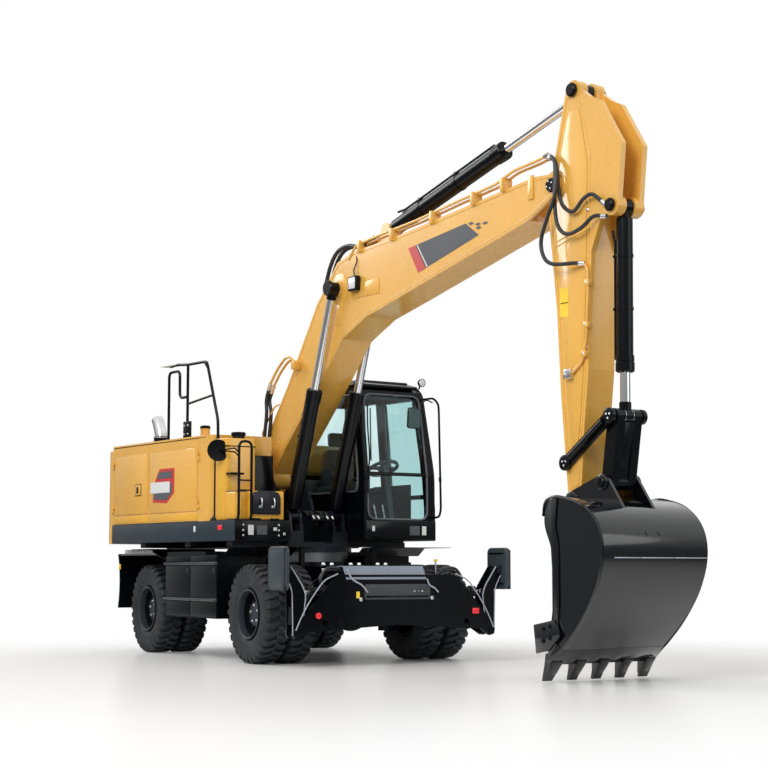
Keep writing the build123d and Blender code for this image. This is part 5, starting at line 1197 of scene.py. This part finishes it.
class EXCAVATOR_OT_cab(bpy.types.Operator):
    """Dress the cab outside: seals, corners, visor, grips, mirror, wiper, lamps"""
    bl_idname = "excavator.cab"
    bl_label = "Cab outside"
    seal: bpy.props.FloatProperty(name="Seal", description="Radius of the window seals in millimetres", default=11.0)

    def frame(self, piece, outline, place, reach):
        """A window's filler with rounded corners, and the seal round them."""
        inner = rounded(outline, reach)
        outer = []
        for corner in outline:
            outer += [Vector(corner)] * (len(inner) // len(outline))
        rings = []
        for offset in (-16.0, 4.0):
            rings.append([[place(p.x, p.y, offset) for p in ring] for ring in (outer, inner)])
        shape = bmesh.new()
        made = [[[shape.verts.new(p) for p in ring] for ring in pair] for pair in rings]
        total = len(inner)
        for k in range(total):
            n = (k + 1) % total
            for a, b, c, d in ((made[1][0][k], made[1][0][n], made[1][1][n], made[1][1][k]),
                               (made[0][0][n], made[0][0][k], made[0][1][k], made[0][1][n]),
                               (made[1][1][k], made[1][1][n], made[0][1][n], made[0][1][k]),
                               (made[1][0][n], made[1][0][k], made[0][0][k], made[0][0][n])):
                shape.faces.new((a, b, c, d))
        bmesh.ops.remove_doubles(shape, verts=shape.verts, dist=0.01)
        bmesh.ops.dissolve_degenerate(shape, dist=0.01, edges=shape.edges)
        piece.take(soften(shape, 0.0), "cab_paint")
        loop = [place(p.x, p.y, 5.0) for p in inner]
        piece.take(tube(loop + loop[:1], self.seal, bend=8.0, steps=8), "seal_grey")

    def execute(self, context):
        piece = Piece("cab_details", "upper")
        whole = [(345, 1580), (1180, 1580), (1176, 2105), (1134, 3036), (345, 3036)]
        front = lambda y, z, out: Vector((screen_x(z) + out, y, z))
        self.frame(piece, whole, front, 110)
        piece.take(tube([front(350, 2105, 6), front(1172, 2105, 6)], 9, steps=8), "cab_paint")
        side = lambda x, z, out: Vector((x, 300.0 - out, z))
        self.frame(piece, [(-520, 1900), (860, 1900), (860, 2100), (760, 3030), (-520, 3030)], side, 70)
        # Pillars and roof edges, rounded
        for y in (318, 1273):
            lean = 0.0 if y < 500 else 1.0
            piece.take(tube([(984, y, 1350), (984, y, 2100), (874, y - lean * 88, 3060), (800, y - lean * 120, 3140)],
                            26, bend=120.0),
                       "cab_paint")
        piece.take(tube([(800, 330, 3140), (800, 1150, 3140)], 28), "cab_paint")
        piece.take(tube([(-540, 326, 3128), (760, 326, 3148)], 24), "cab_paint")
        piece.take(block((-540, 380, 3140), (740, 1100, 3216), 24, 5), "cab_paint")
        piece.take(slab([(740, 3172), (905, 3128), (912, 3136), (900, 3150), (745, 3190)], 350, 1110, bevel=4),
                   "cab_paint")
        # Box under the windscreen with blank plates
        piece.take(slab(oblong(300, 1338, 1296, 1566), 998, 1022, "x", 14, 4), "cab_paint")
        for y, z, wide, high, finish in ((986, 1452, 140, 108, "plate_grey"), (1121, 1452, 60, 104, "plate_white"),
                                         (405, 1470, 36, 60, "lamp_glass")):
            piece.take(slab(oblong(y - wide / 2, z - high / 2, y + wide / 2, z + high / 2), 1020, 1026, "x", 1.0, 1),
                       finish)
        # Wiper, grip, mirror, roof lamp
        piece.take(tube([(1012, 330, 2060), (1018, 352, 2300), (985, 348, 2640), (940, 372, 2900)], 9, curved=True),
                   "black_paint")
        piece.take(tube([(1000, 385, 2250), (958, 400, 2860)], 8), "hose_rubber")
        piece.take(lathe(((-20, 30), (18, 30), (24, 22)), (1002, 326, 2060), (1, 0, 0), 24), "black_paint")
        piece.take(tube([(900, 1206, 3010), (1090, 1214, 3010), (1120, 1262, 2940), (1124, 1266, 2860),
                         (1166, 1260, 1700),
                         (1140, 1256, 1612), (1000, 1256, 1606)], 13, bend=50.0), "black_paint")
        piece.take(round_bar((1152, 1262, 2022), (1150, 1262, 2078), 17, steps=16), "black_paint")
        piece.take(tube([(1046, 1230, 2960), (1076, 1120, 2980), (1084, 1030, 2930)], 8, curved=True), "black_paint")
        mirror = rounded([(830, 2640), (1020, 2630), (1026, 2880), (846, 2886)], 40)
        piece.take(slab([(p.x, p.y) for p in mirror], 1076, 1096, "x", 6, 3), "black_paint")
        glass = rounded([(842, 2652), (1009, 2643), (1014, 2868), (857, 2873)], 34)
        piece.take(slab([(p.x, p.y) for p in glass], 1094, 1099, "x", 1.0, 1), "mirror_glass")
        piece.take(tube([(860, 1165, 3130), (880, 1178, 3190)], 10), "black_paint")
        piece.take(lathe(((-34, 24), (-20, 44), (10, 50), (16, 50)), (892, 1182, 3206), (1, 0, 0), 32), "black_paint")
        piece.take(lathe(((0, 44), (6, 38), (8, 10)), (906, 1182, 3206), (1, 0, 0), 32), "lamp_glass")
        # Valve block with its hoses under the boom's foot
        piece.take(block((650, -275, 1552), (765, 50, 1622), 10), "black_paint")
        for y in (-250, -185, -65, 5):
            piece.take(round_bar((758, y, 1608), (786, y + 6, 1572), 13, steps=12), "bolt_steel")
            piece.take(tube([(680, y, 1612), (600, y, 1655), (480, y + 10, 1650), (400, y + 16, 1580)], 16,
                            curved=True), "hose_rubber")
        piece.finish("cab_paint")
        door = Piece("cab_door_details", "cab_door")
        out_y = lambda z: 1300.0 - max(0.0, z - 1700.0) * 0.0813 - max(0.0, z - 2500.0) * 0.012
        low, high = 1850, 2150
        door.take(tube([(880, out_y(low) + 4, low), (880, out_y(low) + 11, low + 30),
                        (880, out_y(high) + 11, high - 30), (880, out_y(high) + 4, high)], 11, bend=24.0),
                  "black_paint")
        door.take(block((800, out_y(1870) - 4, 1840), (868, out_y(1870) + 16, 1890), 6), "black_paint")
        for z0, z1 in ((1580, 1820), (1890, 2990)):
            for x in (150, 838 if z1 < 2000 else 800):
                door.take(tube([(x, out_y(z0) + 2, z0), (x, out_y((z0 + z1) / 2) + 2, (z0 + z1) / 2),
                                (x, out_y(z1) + 2, z1)], 8), "seal_grey")
        door.finish("cab_paint")
        return {"FINISHED"}


class EXCAVATOR_OT_cabin(bpy.types.Operator):
    """Furnish the cab inside: seat, consoles, levers, wheel, blind"""
    bl_idname = "excavator.cabin"
    bl_label = "Cab inside"
    crown: bpy.props.FloatProperty(name="Crown", description="How far the cushions bulge, in millimetres",
                                   default=22.0)

    def cushion(self, low, high, channels):
        """A crowned cushion with sewn channels across it."""
        low, high = Vector(low), Vector(high)
        size, middle = (high - low) / 2, (high + low) / 2
        shape = bmesh.new()
        bmesh.ops.create_cube(shape, size=2.0)
        bmesh.ops.subdivide_edges(shape, edges=shape.edges[:], cuts=15, use_grid_fill=True)
        thin = min(range(3), key=lambda k: size[k])
        run = 2 if thin == 0 else 0
        for vert in shape.verts:
            p = vert.co.copy()
            reach = max(abs(p.x), abs(p.y), abs(p.z))
            bulk = sum(abs(c) ** 5 for c in p) ** 0.2
            p = p * (reach / bulk) if bulk else p
            across = [k for k in range(3) if k != thin]
            swell = (1 - p[across[0]] ** 2) * (1 - p[across[1]] ** 2)
            furrow = abs(sin(pi * channels * (p[run] + 1) / 2)) ** 0.35
            q = Vector(size[k] * p[k] for k in range(3))
            q[thin] += (1 if p[thin] > 0 else -1) * (self.crown * swell - 7.0 * (1 - furrow) * swell)
            vert.co = middle + q
        return soften(shape, 0.0)

    def execute(self, context):
        seat_y = 800.0
        seat = Piece("seat_cushions", "upper")
        seat.take(self.cushion((-310, seat_y - 240, 1780), (215, seat_y + 240, 1860), 4), "seat_fabric", 60.0)
        seat.take(self.cushion((-392, seat_y - 230, 1880), (-292, seat_y + 230, 2460), 5), "seat_fabric", 60.0)
        seat.take(self.cushion((-380, seat_y - 130, 2500), (-310, seat_y + 130, 2670), 2), "seat_fabric", 60.0)
        seat.take(block((-240, seat_y - 170, 1400), (140, seat_y + 170, 1560), 14), "cab_plastic")
        seat.take(block((-280, seat_y - 215, 1690), (190, seat_y + 215, 1765), 18, 4), "cab_plastic")
        for z in range(1570, 1690, 24):
            seat.take(block((-220, seat_y - 160, z), (120, seat_y + 160, z + 16), 7), "hose_rubber")
        for out in (1, -1):
            y = seat_y + out * 315
            seat.take(block((-250, y - 55, 1900), (300, y + 55, 1990), 22, 4), "cab_plastic")
            seat.take(block((-190, y - 50, 1395), (140, y + 50, 1898), 16, 4), "cab_plastic")
            seat.take(tube([(240, y, 1985), (250, y, 2060), (240, y, 2110)], 12), "hose_rubber")
            seat.take(lathe(((-50, 16), (-30, 26), (20, 30), (44, 22), (50, 8)), (240, y, 2130), (0, 0, 1), 20),
                      "cab_plastic")
        made = seat.finish("seat_fabric", ("operator_seat",))
        inside = Piece("cabin_details", "upper")
        middle = Vector((640, seat_y, 2190))
        normal = Vector((-sin(radians(25)), 0, cos(radians(25))))
        inside.take(lathe(((-26, 60), (-10, 66), (20, 60), (24, 30)), middle, normal, 32), "cab_plastic")
        inside.take(block((700, seat_y - 110, 1392), (880, seat_y + 110, 1450), 14), "cab_plastic")
        for y in (seat_y - 60, seat_y + 60):
            inside.take(slab([(600, 1400), (700, 1450), (694, 1464), (592, 1412)], y - 34, y + 34, bevel=5),
                        "hose_rubber")
            inside.take(tube([(640, y, 1440), (560, y, 1700), (540, y, 1760)], 9), "bolt_steel")
        inside.take(block((800, 380, 1900), (862, 470, 2120), 14, 4), "cab_plastic")
        inside.take(slab(oblong(388, 1930, 462, 2080), 796, 801, "x", 2), "mirror_glass")
        inside.take(block((-540, 380, 1395), (-420, 1180, 2090), 18, 4), "cab_plastic")
        inside.take(tube([(760, 420, 3010), (760, 1080, 3010)], 24), "cab_plastic")
        inside.take(block((-150, 1196, 1520), (620, 1226, 2010), 10), "cab_plastic")
        inside.take(block((250, 330, 1392), (900, 390, 1870), 14), "cab_plastic")
        inside.take(tube([(560, 372, 1870), (600, 380, 2020), (690, 390, 2060)], 14, curved=True), "hose_rubber")
        for out in (1, -1):
            inside.take(lathe(((0, 40), (24, 44), (26, 30)), (870, seat_y + out * 250, 1560), (0.2, 0, 1), 20),
                        "cab_plastic")
        inside.finish("cab_plastic")
        return {"FINISHED"}


BLADE_SIDE = 1250.0


def front_spot(px, py, x=2414.0):
    """A spot on the cross frame's front, from its place in a 768 wide view."""
    return x, -619.0 + (px - 345.0) * 12.1, 350.0 + (633.0 - py) * 10.9


class EXCAVATOR_OT_undercarriage(bpy.types.Operator):
    """Dress the cross frame, the pads, the side boxes, the guards and the blade"""
    bl_idname = "excavator.undercarriage"
    bl_label = "Undercarriage"
    step: bpy.props.FloatProperty(name="Step radius",
                                  description="Radius of the round steps on the side boxes, in millimetres",
                                  default=18.0)

    def execute(self, context):
        piece = Piece("undercarriage_details", "chassis", turned=False)
        # Bent cover on the cross frame, painted highlights on its ears and front edges, the recess and the fittings
        piece.take(slab([(2040, 1041), (2330, 1041), (2412, 905), (2404, 897), (2322, 1029), (2040, 1029)], -619, 350,
                        bevel=3), "cover_blue")
        piece.take(block((2080, -600, 948), (2318, 332, 1030), 8), "black_paint")
        # pale tubes on the ears: painted highlight
        for ear in ([(345.6, 573), (349, 580), (353, 584), (360, 588), (366, 595)],
                    [(425.5, 582), (428, 588), (433, 591), (437, 595)]):
            line = [Vector(front_spot(*p)) for p in ear]
            piece.take(tube(line, 9, curved=True), "painted_edge_highlight")
        for side in (1, -1):
            # pale tube on each front edge: painted highlight; the black tube 218 mm behind is the rear edge
            edge = [(2404, side * y, z) for y, z in ((716, 960), (861, 895), (950, 800), (1042, 677), (1130, 530),
                                                     (1200, 383))]
            piece.take(tube(edge, 7, curved=True), "painted_edge_highlight")
            piece.take(tube([(x - 218, y, z) for x, y, z in edge], 8, curved=True), "black_paint")
        recess = rounded(oblong(-400, 690, 400, 850), 30)
        piece.take(slab([tuple(p) for p in recess], 2398, 2406, "x", 3), "cab_plastic")
        piece.take(slab(oblong(-380, 710, 380, 730), 2404, 2412, "x", 2), "black_paint")
        for px, py, radius in ((359.5, 601.5, 20), (431, 600.5, 20), (413, 594, 11), (417, 594, 9), (421, 594, 11)):
            piece.take(lathe(((-10, radius), (6, radius), (12, radius * 0.6)), front_spot(px, py, 2404), (1, 0, 0),
                             20), "bolt_steel")
        piece.take(slab(oblong(-500, 705, -462, 775), 2402, 2416, "x", 5), "warning_yellow")
        piece.take(lathe(((-6, 32), (8, 32), (12, 24)), (2404, -940, 530), (1, 0, 0), 28), "marker_red")
        piece.take(slab(oblong(930, 530, 1014, 590), 2400, 2410, "x", 3), "marker_red")
        for first, second in ((-754, -655), (-428, -328), (-103, -6)):
            piece.take(block((2110, first - 34, 1024), (2190, second + 34, 1050), 4), "black_paint")
            for y in (first, second):
                piece.take(lathe(((0, 22), (14, 22), (24, 15), (28, 6)), (2150, y, 1050), (0, 0, 1), 20),
                           "bolt_steel")
        piece.take(round_bar((2250, 560, 945), (2250, 560, 1096), 9, steps=12), "bolt_steel")
        piece.take(lathe(((0, 12), (4, 22), (22, 22), (26, 12)), (2250, 560, 1090), (0, 0, 1), 18), "warning_yellow")
        for side in (1, -1):
            for n, lift in enumerate((0, 26)):
                piece.take(tube([(2240 + 40 * n, side * 560, 950), (2240 + 40 * n, side * 660, 990 + lift),
                                 (2250 + 40 * n, side * 790, 985 + lift),
                                 (2270 + 30 * n, side * 860, 900), (2280 + 30 * n, side * 800, 800)], 13,
                                curved=True), "hose_rubber")
            piece.take(lathe(((0, 17), (34, 17), (38, 12)), (2260, side * 790, 1000), (0, side, -0.1), 16),
                       "bolt_steel")
        # Side boxes: door skins, latches, round steps, ribs
        for side in (1, -1):
            face = side * 1240.0
            for x0, x1 in ((-980, -250), (-236, 500)):
                for z0, z1 in ((470, 640), (684, 1050), (1094, 1158)):
                    piece.take(side_slab(oblong(x0, z0, x1, z1), face - side, face + side * 5, 4, 3), "black_paint")
                piece.take(block((x1 - 90, face - 1 + min(0, side * 10), 960),
                                 (x1 - 50, face + 1 + max(0, side * 10), 1020), 4), "hub_grey")
            # round steps in a lighter grey than their black: painted highlight
            for z in (1072, 662):
                piece.take(tube([(-988, side * 1240, z), (-980, side * 1262, z), (500, side * 1262, z),
                                 (508, side * 1240, z)], self.step,
                                bend=16.0, steps=16), "step_grey_painted_highlight")
            # Grip strips along the guards
            for n in range(12):
                x = -880 + n * 66
                piece.take(block((x, min(side * 880, side * 1180), 1206),
                                 (x + 22, max(side * 880, side * 1180), 1213), 3), "black_paint")
            for n in range(5):
                z = 1186 + n * 13
                piece.take(block((-2330, min(side * 700, side * 1249), z),
                                 (-2050, max(side * 700, side * 1249), z + 8), 2.5), "black_paint")
        for side in (1, -1):
            piece.take(tube([(-1900, side * 300, 900), (-1700, side * 320, 860), (-900, side * 340, 900),
                             (200, side * 300, 900),
                             (1900, side * 320, 880)], 14, curved=True), "hose_rubber")
        piece.finish("black_paint")

        for name, side in (("left", 1), ("right", -1)):
            pad = Piece("pad_box_" + name, "stabiliser_pad_" + name, turned=False)
            outline = [tuple(p) for p in rounded(oblong(2103, 788, 2487, 1242), 70)]
            pad.take(side_slab(outline, side * 1376, side * 1312, 16, 4), "pad_grey")
            inner = [tuple(p) for p in rounded(oblong(2140, 825, 2450, 1205), 50)]
            pad.take(side_slab(inner, side * 1374, side * 1379, 2), "pad_grey")
            for z in (850, 1180):
                pad.take(block((2150, min(side * 1300, side * 1316), z - 8),
                               (2440, max(side * 1300, side * 1316), z + 8), 3), "black_paint")
            pad.finish("frame_grey")
            # the legs are black; the pale tubes along their edges are painted highlight
            leg = Piece("leg_edge_highlight_" + name, "stabiliser_leg_" + name, turned=False)
            leg.take(tube([(2382, side * 1222, 330), (2382, side * 1234, 800), (2382, side * 1322, 965)], 6,
                          bend=60.0), "painted_edge_highlight")
            leg.take(tube([(2382, side * 1120, 330), (2382, side * 1076, 740), (2382, side * 1110, 830),
                           (2382, side * 1250, 1035)], 7,
                          bend=40.0), "painted_edge_highlight")
            leg.finish("black_paint")

        low = 1000.0 * (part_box("blade")[0] - SLEW)
        blade = Piece("blade_details", "blade", turned=False)
        for side in (1, -1):
            y = side * (BLADE_SIDE - 4)
            blade.take(block((low.x + 50, min(y, y + side * 12), 1000), (low.x + 100, max(y, y + side * 12), 1070),
                             4), "marker_amber")
        # thin pale strip along the blade's top edge: painted highlight
        blade.take(block((low.x + 8, -BLADE_SIDE + 20, 1176), (low.x + 60, BLADE_SIDE - 20, 1187), 4), "painted_edge_highlight")
        blade.finish("black_paint")
        return {"FINISHED"}


class EXCAVATOR_PT_sidebar(bpy.types.Panel):
    bl_label = "Wheeled excavator"
    bl_idname = "EXCAVATOR_PT_sidebar"
    bl_space_type = "VIEW_3D"
    bl_region_type = "UI"
    bl_category = "Excavator"

    def draw(self, context):
        for operator in OPERATORS:
            self.layout.operator(operator.bl_idname)


OPERATORS = (EXCAVATOR_OT_stage, EXCAVATOR_OT_paint, EXCAVATOR_OT_tyres, EXCAVATOR_OT_rams,
             EXCAVATOR_OT_boom, EXCAVATOR_OT_arm, EXCAVATOR_OT_bucket, EXCAVATOR_OT_hood, EXCAVATOR_OT_steps,
             EXCAVATOR_OT_cab, EXCAVATOR_OT_cabin, EXCAVATOR_OT_undercarriage)
CLASSES = (StageSettings, EXCAVATOR_PT_sidebar) + OPERATORS


def register():
    for made in CLASSES:
        bpy.utils.register_class(made)
    bpy.types.Scene.excavator_stage = bpy.props.PointerProperty(type=StageSettings)


def unregister():
    del bpy.types.Scene.excavator_stage
    for made in reversed(CLASSES):
        bpy.utils.unregister_class(made)


def main():
    register()
    for operator in OPERATORS:
        group, name = operator.bl_idname.split(".")
        getattr(getattr(bpy.ops, group), name)()


if __name__ == "__main__":
    main()
